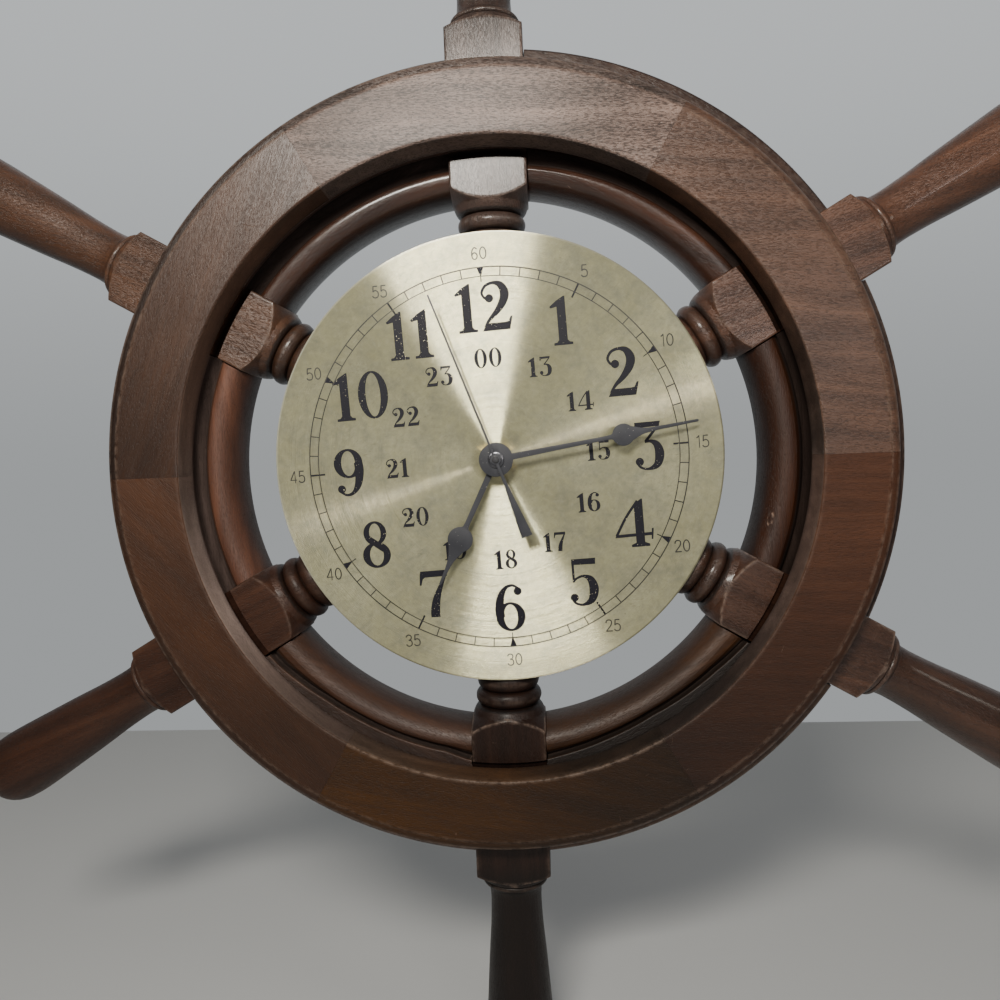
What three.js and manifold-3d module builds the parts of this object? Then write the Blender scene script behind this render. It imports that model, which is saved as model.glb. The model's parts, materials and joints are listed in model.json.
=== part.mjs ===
// Ship wheel wall clock: a six-spoke wooden wheel with a round brass dial at
// its middle and a battery quartz movement let into the back of the hub.
// Millimetres. Finished frame: +Z up, +X right, the front faces -Y.
import * as THREE from 'three';
import { mergeVertices } from 'three/addons/utils/BufferGeometryUtils.js';
import Module from 'manifold-3d';

const wasm = await Module();
wasm.setup();

// ------------------------------------------------------------------ sizes
// Everything is drawn facing the viewer: x right, y up, z out of the wall.
// z = 0 is the front of the brass dial.
const DIAL_R = 89;               // 7 inch dial
const DIAL_T = 0.8;
const STOCK = 30.2;              // square spoke stock, 1 3/16 inch
const BLOCK_FACE = 0.95;         // front of the square blocks
const BLOCK_BACK = BLOCK_FACE - STOCK;
const SPOKE_AXIS_Z = BLOCK_FACE - STOCK / 2;
const GAP = 0.3;                 // gap left between glued or resting faces
const RING_FACE = 13.4;          // front of the front ring
const RING_BACK = BLOCK_FACE + GAP;
const RING_IN = 123;
const RING_FLAT = 147.6;         // outer edge of the flat face
const RING_OUT = 152;
const FELLOE_IN = 106;           // innermost point of the back ring
const FELLOE_OUT = 158.3;
const FELLOE_FRONT = 0.55;
const FELLOE_BACK = BLOCK_BACK + 0.6;
const NOSE_Z = (FELLOE_FRONT + FELLOE_BACK) / 2;
const TIP_R = 260;               // wheel centre to handle tip
const HUB_R = 70;
const HUB_FRONT = -DIAL_T - GAP;
const HUB_BACK = -28.5;
const POCKET_FLOOR = -9.6;       // bottom of the movement pocket
const CASE_FRONT = -10.6;        // front plate of the movement case
const CASE_SIDE = 56;
const CASE_DEPTH = 16;
const WALL = 1.2;
const DEPTH_MID = (RING_FACE + BLOCK_BACK) / 2;   // middle of the whole depth

const CLOCK_AT = [0.6, 2.3, 0];   // the clock sits a little high and right on the wheel
// how far out each back segment was glued, clockwise from the upper right one
const FELLOE_SHIFT = [1.8, 0, 0.6, 0.1, 0, -0.8];
const DIAL_TURN = 3.0;           // dial sits 3 degrees anticlockwise on the wheel
const HOUR_AT = 206.4, MINUTE_AT = 81.0, SECOND_AT = 339.6;  // clockwise from up

const SCREW_R = 140.5;           // radius at which the ring screws stand
const SCREW_SHANK = 1.9, SCREW_HEAD = 4.0;

// gear train: teeth and modules
const T = { rotor: 6, interWheel: 36, interPinion: 6, seconds: 30, secondsPinion: 6,
  third: 45, thirdPinion: 6, centre: 48, cannon: 10, motion: 30, motionPinion: 8,
  hour: 32, knob: 12 };
const M = { rotor: 0.40, inter: 0.50, third: 0.36, centre: 0.34, motion: 0.42 };
const A_THIRD = M.third * (T.secondsPinion + T.third) / 2;      // 9.18
const A_INTER = M.inter * (T.interPinion + T.seconds) / 2;      // 9.00
const A_ROTOR = M.rotor * (T.rotor + T.interWheel) / 2;         // 8.40
const A_MOTION = M.motion * (T.cannon + T.motion) / 2;          // 8.40
const A_KNOB = M.motion * (T.motion + T.knob) / 2;              // 8.82
const polar = (r, deg, from = [0, 0]) => [from[0] + r * Math.cos(deg * Math.PI / 180),
  from[1] + r * Math.sin(deg * Math.PI / 180)];
const DIR_THIRD = 180, DIR_INTER = 40, DIR_ROTOR = 90, DIR_MOTION = -20, DIR_KNOB = -10;
const P_THIRD = polar(A_THIRD, DIR_THIRD);
const P_INTER = polar(A_INTER, DIR_INTER);
const P_ROTOR = polar(A_ROTOR, DIR_ROTOR, P_INTER);
const P_MOTION = polar(A_MOTION, DIR_MOTION);
const P_KNOB = polar(A_KNOB, DIR_KNOB, P_MOTION);
const lvl = (m) => CASE_FRONT - m;   // depth behind the front of the case

// ------------------------------------------------------------- materials
const tone = (hex, roughness, metalness = 0) =>
  new THREE.MeshStandardMaterial({ color: hex, roughness, metalness });
const WOOD = { front: 0x5a3322, back: 0x4a2619, spoke: 0x55301f, hub: 0x3f2317 };

// --------------------------------------------------------------- helpers
function solid(geometry) {
  const g = geometry.index ? geometry.toNonIndexed() : geometry.clone();
  g.deleteAttribute('normal'); g.deleteAttribute('uv');
  const m = mergeVertices(g, 1e-5);
  const pos = m.attributes.position.array;
  const idx = [];
  const src = m.index.array;
  for (let i = 0; i < src.length; i += 3) {
    const [a, b, c] = [src[i], src[i + 1], src[i + 2]];
    if (a !== b && b !== c && a !== c) idx.push(a, b, c);
  }
  let vol = 0;
  const v = (i) => new THREE.Vector3(pos[3 * i], pos[3 * i + 1], pos[3 * i + 2]);
  for (let i = 0; i < idx.length; i += 3) {
    vol += v(idx[i]).dot(v(idx[i + 1]).cross(v(idx[i + 2]))) / 6;
  }
  if (vol < 0) for (let i = 0; i < idx.length; i += 3) [idx[i + 1], idx[i + 2]] = [idx[i + 2], idx[i + 1]];
  return new wasm.Manifold(new wasm.Mesh({
    numProp: 3, vertProperties: new Float32Array(pos), triVerts: new Uint32Array(idx) }));
}
function geometryOf(manifold) {
  const mesh = manifold.getMesh();
  const g = new THREE.BufferGeometry();
  g.setAttribute('position', new THREE.BufferAttribute(new Float32Array(mesh.vertProperties), 3));
  g.setIndex(new THREE.BufferAttribute(new Uint32Array(mesh.triVerts), 1));
  g.computeVertexNormals();
  return g;
}
const box = (x0, x1, y0, y1, z0, z1) => solid(new THREE.BoxGeometry(x1 - x0, y1 - y0, z1 - z0)
  .translate((x0 + x1) / 2, (y0 + y1) / 2, (z0 + z1) / 2));
// cylinder standing along z
const rod = (r, z0, z1, n = 20, x = 0, y = 0) => solid(new THREE.CylinderGeometry(r, r, z1 - z0, n)
  .rotateX(Math.PI / 2).translate(x, y, (z0 + z1) / 2));
// cylinder lying along y
const rodY = (r, y0, y1, n = 16, x = 0, z = 0) => solid(new THREE.CylinderGeometry(r, r, y1 - y0, n)
  .translate(x, (y0 + y1) / 2, z));
// cylinder lying along x
const rodX = (r, x0, x1, n = 16, y = 0, z = 0) => solid(new THREE.CylinderGeometry(r, r, x1 - x0, n)
  .rotateZ(Math.PI / 2).translate((x0 + x1) / 2, y, z));
// profile [[radius, height], ...] turned about the z axis
const turnedZ = (pts, n) => solid(new THREE.LatheGeometry(pts.map((p) => new THREE.Vector2(p[0], p[1])), n)
  .rotateX(Math.PI / 2));
// profile turned about the y axis
const turnedY = (pts, n) => solid(new THREE.LatheGeometry(pts.map((p) => new THREE.Vector2(p[0], p[1])), n));
const plate = (shape, z0, z1, seg = 6) => solid(new THREE.ExtrudeGeometry(shape,
  { depth: z1 - z0, bevelEnabled: false, curveSegments: seg }).translate(0, 0, z0));
const outline = (pts) => new THREE.Shape(pts.map((p) => new THREE.Vector2(p[0], p[1])));
const ringPlate = (rOut, rIn, z0, z1, n = 24) => rod(rOut, z0, z1, n).subtract(rod(rIn, z0 - 1, z1 + 1, n));

// toothed wheel outline; tooth 0 points along +x
function gear(teeth, module, z0, z1, phase = 0) {
  const rp = module * teeth / 2;
  const rt = rp + 0.72 * module, rr = rp - 0.98 * module;
  const pitch = 2 * Math.PI / teeth;
  const wRoot = 0.25, wTip = 0.10;        // half widths as a share of the pitch
  const pts = [];
  for (let i = 0; i < teeth; i++) {
    const a = i * pitch + phase * Math.PI / 180;
    for (const [r, w] of [[rr, -wRoot], [rt, -wTip], [rt, wTip], [rr, wRoot]]) {
      pts.push([r * Math.cos(a + w * pitch), r * Math.sin(a + w * pitch)]);
    }
  }
  return plate(outline(pts), z0, z1);
}
// phase of the driven gear so that it meshes with a driver whose tooth is at
// `phase`, seen from the driver towards direction `dir`
function meshPhase(phase, teethA, teethB, dir) {
  const ahead = phase - dir;
  return dir + 180 + 180 / teethB - ahead * teethA / teethB;
}

const clock = new THREE.Group();
clock.name = 'ship_wheel_clock';
// turns the drawing frame (z out of the wall) into the finished frame
clock.rotation.x = Math.PI / 2;
clock.position.y = DEPTH_MID;
const clockwork = new THREE.Group();
clockwork.name = 'clockwork';
clockwork.position.set(...CLOCK_AT);
clock.add(clockwork);
let home = clock;                // group that new parts go into
function add(name, manifold, material, place = {}) {
  const mesh = new THREE.Mesh(geometryOf(manifold), material);
  mesh.name = name;
  if (place.at) mesh.position.set(place.at[0], place.at[1], place.at[2] ?? 0);
  if (place.turn !== undefined) mesh.rotation.z = place.turn * Math.PI / 180;
  home.add(mesh);
  return mesh;
}

// ----------------------------------------------------------- wooden wheel
// wedge between two rays, in degrees clockwise from up, well past the wheel
function wedge(from, to, z0, z1) {
  const pts = [[0, 0]];
  for (let i = 0; i <= 4; i++) {
    const a = (from + (to - from) * i / 4) * Math.PI / 180;
    pts.push([230 * Math.sin(a), 230 * Math.cos(a)]);
  }
  return plate(outline(pts.reverse()), z0, z1);
}

// front ring: flat face, softened inner edge, small step and roundover outside
const frontRing = turnedZ([
  [RING_IN, RING_BACK], [RING_OUT, RING_BACK], [RING_OUT, 8.8], [150.8, 11.4],
  [148.2, 12.5], [RING_FLAT, RING_FACE],
  [RING_IN + 0.9, RING_FACE], [RING_IN, RING_FACE - 0.9], [RING_IN, RING_BACK]], 60);
const ringGap = 0.15 / RING_IN * 180 / Math.PI;
for (let k = 0; k < 6; k++) {
  // a segment is centred on its spoke and is drawn on the upright one
  let seg = frontRing.intersect(wedge(-30 + ringGap, 30 - ringGap, RING_BACK - 1, RING_FACE + 1));
  seg = seg.subtract(rod(SCREW_SHANK + 0.3, RING_BACK - 1, RING_BACK + 8.4, 12, 0, SCREW_R));
  add(`front_ring_segment_${k + 1}`, seg, tone(WOOD.front, 0.5), { turn: -60 * k });
}

// back ring: wider felloes between the spoke blocks, bull-nosed inner side
const nose = [];
for (let i = 0; i <= 6; i++) {
  const a = Math.PI / 2 + Math.PI * i / 6;
  nose.push([118.6 + (118.6 - FELLOE_IN) * Math.cos(a), NOSE_Z + 13.45 * Math.sin(a)]);
}
const felloe = turnedZ([
  [119.6, FELLOE_FRONT], ...nose, [119.6, FELLOE_BACK], [FELLOE_OUT, FELLOE_BACK],
  [FELLOE_OUT, FELLOE_FRONT - 1.8],
  [FELLOE_OUT - 1.6, FELLOE_FRONT], [119.6, FELLOE_FRONT]], 60);
// drawn about the direction half way between the upright spoke and the next
const blockCut = (dir) => box(-STOCK / 2 - GAP, STOCK / 2 + GAP, 0, 230, -60, 30)
  .rotate([0, 0, dir]);
const felloeWedge = felloe.intersect(wedge(-30, 30, -40, 10));
for (let k = 0; k < 6; k++) {
  const segment = felloeWedge.translate([0, FELLOE_SHIFT[k], 0])
    .subtract(blockCut(30)).subtract(blockCut(-30));
  add(`back_ring_segment_${k + 1}`, segment, tone(WOOD.back, 0.5), { turn: -30 - 60 * k });
}

// spokes: square stock turned down either side of the block, tenon to handle
const half = STOCK / 2, diag = half * Math.SQRT2 + 0.4;
const spokeProfile = [
  [0, 50.5], [7.0, 50.5], [7.0, 70.3], [12.2, 70.3], [12.2, 75.0],
  [8.8, 78], [9.4, 83], [12.9, 87.4], [12.9, 91.2], [11.3, 93.2],
  [13.7, 96.2], [13.0, 99.6], [15.1, 102.8],
  [diag, 108.4], [diag, 168.2], [15.1, 171.6],
  [13.4, 175.4], [10.9, 180.4], [10.8, 186.5], [12.4, 209],
  [14.4, 239], [14.4, 249], [10.6, 257.4], [0, TIP_R]];
const turnedSpoke = turnedY(spokeProfile, 12).intersect(
  box(-half, half, 40, TIP_R + 10, -half, half));
const spokes = [];
for (let k = 0; k < 6; k++) {
  let body = turnedSpoke;
  // screw from the back into the front ring, head sunk in the block
  body = body.subtract(rod(SCREW_SHANK + 0.3, -half - 1, half + 1, 12, 0, SCREW_R));
  body = body.subtract(rod(SCREW_HEAD + 0.3, -half - 1, -half + 3.2, 12, 0, SCREW_R));
  if (k === 0) {
    // recess for the hanger plate, room behind its keyhole, pilot holes
    body = body.subtract(box(-7.3, 7.3, 103.4, 134.3, -half - 1, -half + 2.4));
    body = body.subtract(box(-5.5, 5.5, 110.2, 127.0, -half - 1, -half + 9));
    for (const y of [107.0, 130.6]) body = body.subtract(rod(1.3, -half - 1, -half + 9.4, 10, 0, y));
  }
  spokes.push(add(`spoke_${k + 1}`, body, tone(WOOD.spoke, 0.48), { turn: -60 * k, at: [0, 0, SPOKE_AXIS_Z] }));
}
for (let k = 0; k < 6; k++) {
  const back = BLOCK_BACK + 0.2;
  const screw = rod(SCREW_HEAD, back, back + 2.6, 12, 0, 0)
    .add(rod(SCREW_SHANK, back + 2, RING_BACK + 7.8, 8, 0, 0))
    .subtract(box(-5, 5, -0.5, 0.5, back - 1, back + 1.1));
  const a = 60 * k * Math.PI / 180;
  add(`ring_screw_${k + 1}`, screw, tone(0xb8a878, 0.35, 1),
    { at: [SCREW_R * Math.sin(a), SCREW_R * Math.cos(a), 0], turn: 20 * k + 15 });
}

// hanger plate with a keyhole, let into the back of the top spoke
let hanger = box(-7, 7, 103.7, 134.0, BLOCK_BACK + 1.0, BLOCK_BACK + 2.1);
hanger = hanger.subtract(rod(4.2, BLOCK_BACK - 1, BLOCK_BACK + 3, 16, 0, 115.4));
hanger = hanger.subtract(rod(2.2, BLOCK_BACK - 1, BLOCK_BACK + 3, 12, 0, 122.4));
hanger = hanger.subtract(box(-2.2, 2.2, 115.4, 122.4, BLOCK_BACK - 1, BLOCK_BACK + 3));
for (const y of [107.0, 130.6]) hanger = hanger.subtract(rod(1.4, BLOCK_BACK - 1, BLOCK_BACK + 3, 10, 0, y));
add('hanger_plate', hanger, tone(0xb89a58, 0.4, 1));
[107.0, 130.6].forEach((y, i) => {
  const z = BLOCK_BACK;
  const screw = rod(2.5, z + 0.1, z + 0.8, 12).add(rod(1.0, z + 0.6, z + 9.2, 8))
    .subtract(box(-3, 3, -0.3, 0.3, z - 1, z + 0.45));
  add(`hanger_screw_${i + 1}`, screw, tone(0xb89a58, 0.4, 1), { at: [0, y, 0], turn: 35 + 50 * i });
});

// hub: round wooden block behind the dial
let hub = turnedZ([[0, HUB_BACK], [HUB_R - 2, HUB_BACK], [HUB_R, HUB_BACK + 2], [HUB_R, HUB_FRONT - 2],
  [HUB_R - 2, HUB_FRONT], [0, HUB_FRONT]], 36);
hub = hub.subtract(box(-29, 29, -29, 29, HUB_BACK - 2, POCKET_FLOOR).translate(CLOCK_AT));
hub = hub.subtract(rod(4.3, HUB_BACK, 2, 20).translate(CLOCK_AT));
for (let k = 0; k < 6; k++) {
  hub = hub.subtract(rodY(7.6, 50.2, 80, 14).rotate([0, 0, -60 * k]).translate([0, 0, SPOKE_AXIS_Z]));
}
add('hub', hub, tone(WOOD.hub, 0.6));

// ------------------------------------------------------------------ dial
home = clockwork;
const dial = turnedZ([[4.2, -DIAL_T], [DIAL_R, -DIAL_T],
  [DIAL_R, -0.2], [DIAL_R - 0.2, 0], [4.2, 0], [4.2, -DIAL_T]], 60);
add('dial', dial, tone(0xb9b08a, 0.35, 1), { turn: DIAL_TURN });

// ----------------------------------------------------------------- hands
const BLACK = () => tone(0x17171a, 0.55, 0.2);
const mirror = (pts) => [...pts, ...pts.slice().reverse().filter((p) => p[0] > 1e-6).map((p) => [-p[0], p[1]])];
function lobe(rad, y, y0w, y1w, n = 5) {   // half outline of a round spade, going up
  const out = [];
  const a0 = -Math.PI / 2 + Math.asin(Math.min(1, y0w / rad)), a1 = Math.PI / 2 - Math.asin(Math.min(1, y1w / rad));
  for (let i = 0; i <= n; i++) {
    const a = a0 + (a1 - a0) * i / n;
    out.push([rad * Math.cos(a), y + rad * Math.sin(a)]);
  }
  return out;
}
function handPlate(pts, discR, holeR, z0, z1) {
  return plate(outline(mirror(pts)), z0, z1).add(rod(discR, z0, z1, 24)).subtract(rod(holeR, z0 - 1, z1 + 1, 16));
}
const Z_HOUR = 4.6, Z_MINUTE = 6.6, Z_SECOND = 9.2;
const hourHand = handPlate([[1.2, 0], [1.0, 22], ...lobe(5.0, 34.5, 1.0, 2.6), [0.75, 46.5], [0.5, 53], [0, 54.5]],
  6.0, 2.9, Z_HOUR, Z_HOUR + 0.5);
add('hour_hand', hourHand, BLACK(), { turn: -HOUR_AT });
const minuteHand = handPlate([[1.25, 0], [0.8, 40], ...lobe(4.3, 50, 0.9, 2.2), [0.75, 64], [0.5, 78], [0, 79.5]],
  6.65, 1.8, Z_MINUTE, Z_MINUTE + 0.5);
add('minute_hand', minuteHand, BLACK(), { turn: -MINUTE_AT });
const secondBlade = outline([[0.32, -30], [0.32, 68], [-0.32, 68], [-0.32, -30]]);
const secondTail = outline([[0.7, -10], [2.25, -32], [-2.25, -32], [-0.7, -10]].reverse());
const secondHand = plate(secondBlade, Z_SECOND, Z_SECOND + 0.3)
  .add(plate(secondTail, Z_SECOND, Z_SECOND + 0.3)).add(rod(2.0, Z_SECOND, Z_SECOND + 0.3, 20))
  .add(rod(1.2, Z_SECOND - 0.35, Z_SECOND + 0.9, 16))
  .subtract(rod(0.75, Z_SECOND - 3, Z_SECOND + 0.5, 12));
add('second_hand', secondHand, BLACK(), { turn: -SECOND_AT });
const handNut = turnedZ([[1.8, 7.3], [3.1, 7.3], [3.1, 7.8], [2.7, 7.9], [2.5, 8.3], [1.8, 8.3], [1.8, 7.3]], 20);
add('hand_nut', handNut, tone(0x2a2a2c, 0.4, 0.6));

// ------------------------------------------------- movement fastening
const hex = (af) => outline(Array.from({ length: 6 }, (_, i) => {
  const a = Math.PI / 3 * i + Math.PI / 6;
  return [af / Math.sqrt(3) * Math.cos(a), af / Math.sqrt(3) * Math.sin(a)];
}));
add('hex_nut', plate(hex(11), 1.1, 3.3).subtract(rod(4.1, 0, 5, 20)), tone(0xb89a58, 0.35, 1));
add('brass_washer', ringPlate(6.2, 4.1, 0.25, 0.8, 16), tone(0xb89a58, 0.35, 1));
add('rubber_washer', ringPlate(11, 4.2, CASE_FRONT + 0.2, POCKET_FLOOR - 0.2, 16), tone(0x1a1a1a, 0.9));

// ------------------------------------------------------------- movement
const h = CASE_SIDE / 2, inr = h - WALL;
const wallBack = lvl(14.2);
let shell = box(-h, h, -h, h, wallBack, lvl(0));
shell = shell.subtract(box(-inr, inr, -10.6, inr, wallBack - 1, lvl(WALL)));      // train room
shell = shell.subtract(box(-inr, inr, -inr, -11.8, wallBack - 1, lvl(WALL)));     // battery bay
shell = shell.add(rod(3.9, lvl(0.5), 4.2, 20));                                   // threaded bush
shell = shell.subtract(rod(2.9, lvl(3), 6, 20));
add('movement_case', shell, tone(0x26262a, 0.6));
let cover = box(-h, h, -11.9, h, lvl(16), lvl(14.5));
cover = cover.subtract(rod(3.0, lvl(17), lvl(14), 20, P_KNOB[0], P_KNOB[1]));
add('movement_back_cover', cover, tone(0x2c2c30, 0.6));

// seconds wheel on the long centre arbor
const PH_SECONDS = 0;
const secondsWheel = gear(T.seconds, M.inter, lvl(9.4), lvl(8.8), PH_SECONDS)
  .add(gear(T.secondsPinion, M.third, lvl(8.9), lvl(7.0), PH_SECONDS))
  .add(rod(0.5, lvl(10.6), Z_SECOND + 0.2, 10));
add('seconds_wheel', secondsWheel, tone(0xe8e4d8, 0.5));

const PH_THIRD = meshPhase(PH_SECONDS, T.secondsPinion, T.third, DIR_THIRD);
const thirdWheel = gear(T.third, M.third, lvl(7.8), lvl(7.2), PH_THIRD)
  .add(gear(T.thirdPinion, M.centre, lvl(7.3), lvl(5.2), 0))
  .add(rod(0.4, lvl(8.5), lvl(4.8), 10));
add('third_wheel', thirdWheel, tone(0xe8e4d8, 0.5), { at: [...P_THIRD, 0] });

// centre wheel, a friction fit on the cannon sleeve
const PH_CENTRE = meshPhase(0, T.thirdPinion, T.centre, DIR_THIRD + 180);
const centreWheel = gear(T.centre, M.centre, lvl(6.0), lvl(5.4), PH_CENTRE)
  .subtract(rod(1.7, lvl(8), lvl(4), 16));
add('centre_wheel', centreWheel, tone(0xc8a95a, 0.4, 1));

const PH_CANNON = 0;
const cannon = gear(T.cannon, M.motion, lvl(4.7), lvl(3.3), PH_CANNON)
  .add(rod(1.5, lvl(6.5), 8.5, 16)).subtract(rod(0.75, lvl(8), 10, 12));
add('cannon_pinion', cannon, tone(0xc8a95a, 0.4, 1));

const PH_MOTION = meshPhase(PH_CANNON, T.cannon, T.motion, DIR_MOTION);
const motionWheel = gear(T.motion, M.motion, lvl(4.4), lvl(3.6), PH_MOTION)
  .add(gear(T.motionPinion, M.motion, lvl(3.7), lvl(1.9), 0))
  .add(rod(0.6, lvl(5.0), lvl(1.5), 10));
add('motion_wheel', motionWheel, tone(0xe8e4d8, 0.5), { at: [...P_MOTION, 0] });

const PH_HOUR = meshPhase(0, T.motionPinion, T.hour, DIR_MOTION + 180);
const hourWheel = gear(T.hour, M.motion, lvl(2.8), lvl(2.0), PH_HOUR)
  .add(rod(2.6, lvl(2.1), 6.1, 20)).subtract(rod(1.9, lvl(4), 8, 16));
add('hour_wheel', hourWheel, tone(0xe8e4d8, 0.5));

const PH_KNOB = meshPhase(PH_MOTION, T.motion, T.knob, DIR_KNOB);
const knobGrip = [];
for (let i = 0; i < 36; i++) {
  const a = i * Math.PI / 18, r = i % 2 ? 6.4 : 5.9;
  knobGrip.push([r * Math.cos(a), r * Math.sin(a)]);
}
const setKnob = gear(T.knob, M.motion, lvl(4.8), lvl(3.2), PH_KNOB)
  .add(rod(1.5, lvl(5.2), lvl(2.0), 12)).add(rod(2.4, lvl(17), lvl(5), 16))
  .add(plate(outline(knobGrip), lvl(18.2), lvl(16.3)));
add('set_knob', setKnob, tone(0xd9d5c8, 0.5), { at: [...P_KNOB, 0] });

const PH_INTER = meshPhase(PH_SECONDS, T.seconds, T.interPinion, DIR_INTER);
const PH_INTER_WHEEL = 0;
const interWheel = gear(T.interPinion, M.inter, lvl(10.3), lvl(8.6), PH_INTER)
  .add(gear(T.interWheel, M.rotor, lvl(10.8), lvl(10.2), PH_INTER_WHEEL))
  .add(rod(0.5, lvl(11.6), lvl(8.0), 10));
add('intermediate_wheel', interWheel, tone(0xe8e4d8, 0.5), { at: [...P_INTER, 0] });

const PH_ROTOR = meshPhase(PH_INTER_WHEEL, T.interWheel, T.rotor, DIR_ROTOR);
const rotor = gear(T.rotor, M.rotor, lvl(11.1), lvl(9.2), PH_ROTOR)
  .add(rod(3.0, lvl(9.3), lvl(5.8), 16)).add(rod(0.5, lvl(11.9), lvl(5.0), 10));
add('rotor', rotor, tone(0x6d6d72, 0.4, 0.8), { at: [...P_ROTOR, 0] });

// stator frame: rotor bar below, core bar above, coil around the core
let stator = box(-16, 16, 9.4, 24.2, lvl(8.0), lvl(7.0));
stator = stator.subtract(box(-13.2, 13.2, 18.9, 21.2, lvl(9), lvl(6)));
stator = stator.subtract(rod(3.7, lvl(9), lvl(6), 20, P_ROTOR[0], P_ROTOR[1]));
add('stator', stator, tone(0x9a9ca0, 0.4, 1));
const bobbin = rodX(3.9, -12.6, -11.4, 14, 22.7, lvl(7.5))
  .add(rodX(3.9, 11.4, 12.6, 14, 22.7, lvl(7.5))).add(rodX(2.6, -12, 12, 14, 22.7, lvl(7.5)))
  .subtract(box(-20, 20, 20.9, 24.5, lvl(8.3), lvl(6.7)));
add('coil_bobbin', bobbin, tone(0xe8e4d8, 0.6));
const winding = rodX(3.6, -11.1, 11.1, 14, 22.7, lvl(7.5)).subtract(rodX(2.9, -12, 12, 14, 22.7, lvl(7.5)));
add('coil_winding', winding, tone(0xb4602c, 0.35, 0.9));

add('circuit_board', box(-26, -9.5, -9.8, 17.8, lvl(12.8), lvl(11.9)), tone(0x2f5a35, 0.6));
add('quartz_crystal', rodY(0.9, -6, 0.5, 12, -22.5, lvl(10.8)), tone(0xb9bcc0, 0.25, 1));

// battery and its contacts
const batteryY = -19.3, batteryZ = lvl(8.6);
const battery = rodX(7.1, -24.6, 23.8, 20, batteryY, batteryZ).add(rodX(2.7, 23, 25.2, 12, batteryY, batteryZ));
add('battery', battery, tone(0x8a8f94, 0.4, 0.4));
add('battery_contact_positive', box(25.7, 26.3, batteryY - 4.5, batteryY + 4.5, lvl(13), lvl(3)),
  tone(0xc9c9c9, 0.3, 1));
const leaf = outline([[-26.4, -6], [-26.4, 6], [-26.0, 6], [-25.1, 0.4], [-26.0, -5.4], [-26.0, -6]].reverse());
const contact = solid(new THREE.ExtrudeGeometry(leaf, { depth: 8, bevelEnabled: false })
  .translate(0, 0, -4).rotateX(Math.PI / 2)).translate([0, batteryY, batteryZ]);
add('battery_contact_negative', contact, tone(0xc9c9c9, 0.3, 1));

const root = new THREE.Group();
root.name = 'clock_assembly';
root.add(clock);
export default root;
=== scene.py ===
import json
import math
import bmesh
import bpy
import numpy as np
from mathutils import Matrix, Vector

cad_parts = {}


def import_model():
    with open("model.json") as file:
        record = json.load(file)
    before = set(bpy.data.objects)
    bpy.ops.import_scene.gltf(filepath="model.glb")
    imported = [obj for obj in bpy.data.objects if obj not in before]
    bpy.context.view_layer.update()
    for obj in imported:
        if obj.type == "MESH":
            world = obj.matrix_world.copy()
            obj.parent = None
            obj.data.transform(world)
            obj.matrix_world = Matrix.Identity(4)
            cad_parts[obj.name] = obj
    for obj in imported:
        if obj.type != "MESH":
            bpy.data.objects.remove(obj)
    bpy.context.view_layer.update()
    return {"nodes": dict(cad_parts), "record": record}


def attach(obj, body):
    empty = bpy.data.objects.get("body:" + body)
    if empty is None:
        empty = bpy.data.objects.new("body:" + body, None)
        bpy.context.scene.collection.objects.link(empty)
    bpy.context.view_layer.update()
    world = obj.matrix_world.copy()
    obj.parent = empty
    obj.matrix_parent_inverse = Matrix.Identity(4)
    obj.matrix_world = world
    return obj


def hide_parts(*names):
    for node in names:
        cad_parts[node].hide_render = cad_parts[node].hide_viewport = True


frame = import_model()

scene = bpy.context.scene
rng = np.random.default_rng(7)

# ------------------------------------------------------------------ sizes
# Shapes are drawn in millimetres facing the viewer: x right, y up, z out of
# the wall, z = 0 at the dial's front. world() turns them into the frame.
DEPTH_MID = -7.925
STOCK = 30.2
HALF = STOCK / 2
FACE = 0.95
BACK = FACE - STOCK
AXIS_Z = FACE - HALF
FELLOE_OUT = 158.3
FELLOE_SHIFT = [1.8, 0.0, 0.6, 0.1, 0.0, -0.8]
CLOCK = np.array([0.6, 2.3, 0.0])
DIAL_TURN = 3.0
HOUR_AT, MINUTE_AT, SECOND_AT = 206.4, 81.0, 339.6
SCREW_R = 140.5
# how far each spoke's block stands clockwise of its own place on the wheel
SPOKE_OFF = [1.15, -0.55, -0.9, -1.2, -0.65, 0.65]


def world(v):
    v = np.asarray(v, float)
    return np.stack([v[:, 0], -v[:, 2] + DEPTH_MID, v[:, 1]], 1) / 1000.0


def unworld(v):
    v = np.asarray(v, float) * 1000.0
    return np.stack([v[:, 0], v[:, 2], DEPTH_MID - v[:, 1]], 1)


def turn(v, deg):
    """Turns points clockwise, as the viewer sees them, about the z axis."""
    a = math.radians(deg)
    v = np.asarray(v, float)
    c, s = math.cos(a), math.sin(a)
    return np.stack([v[:, 0] * c + v[:, 1] * s, -v[:, 0] * s + v[:, 1] * c, v[:, 2]], 1)


# ------------------------------------------------------------ mesh helpers
def build(name, V, F, keep_normals=False):
    me = bpy.data.meshes.new(name)
    me.from_pydata(world(V).tolist(), [], [tuple(int(i) for i in f) for f in F])
    me.update()
    if not keep_normals:
        bm = bmesh.new()
        bm.from_mesh(me)
        bmesh.ops.recalc_face_normals(bm, faces=bm.faces)
        bm.to_mesh(me)
        bm.free()
    ob = bpy.data.objects.new(name, me)
    scene.collection.objects.link(ob)
    return ob


def cut(ob, *cutters):
    """Takes the cutters away from ob and bakes the result into its mesh."""
    for c in cutters:
        m = ob.modifiers.new("cut", "BOOLEAN")
        m.operation = "DIFFERENCE"
        m.solver = "EXACT"
        m.object = c
    dg = bpy.context.evaluated_depsgraph_get()
    me = bpy.data.meshes.new_from_object(ob.evaluated_get(dg))
    ob.modifiers.clear()
    old = ob.data
    ob.data = me
    me.name = ob.name
    bpy.data.meshes.remove(old)
    for c in cutters:
        bpy.data.objects.remove(c)
    return ob


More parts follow.
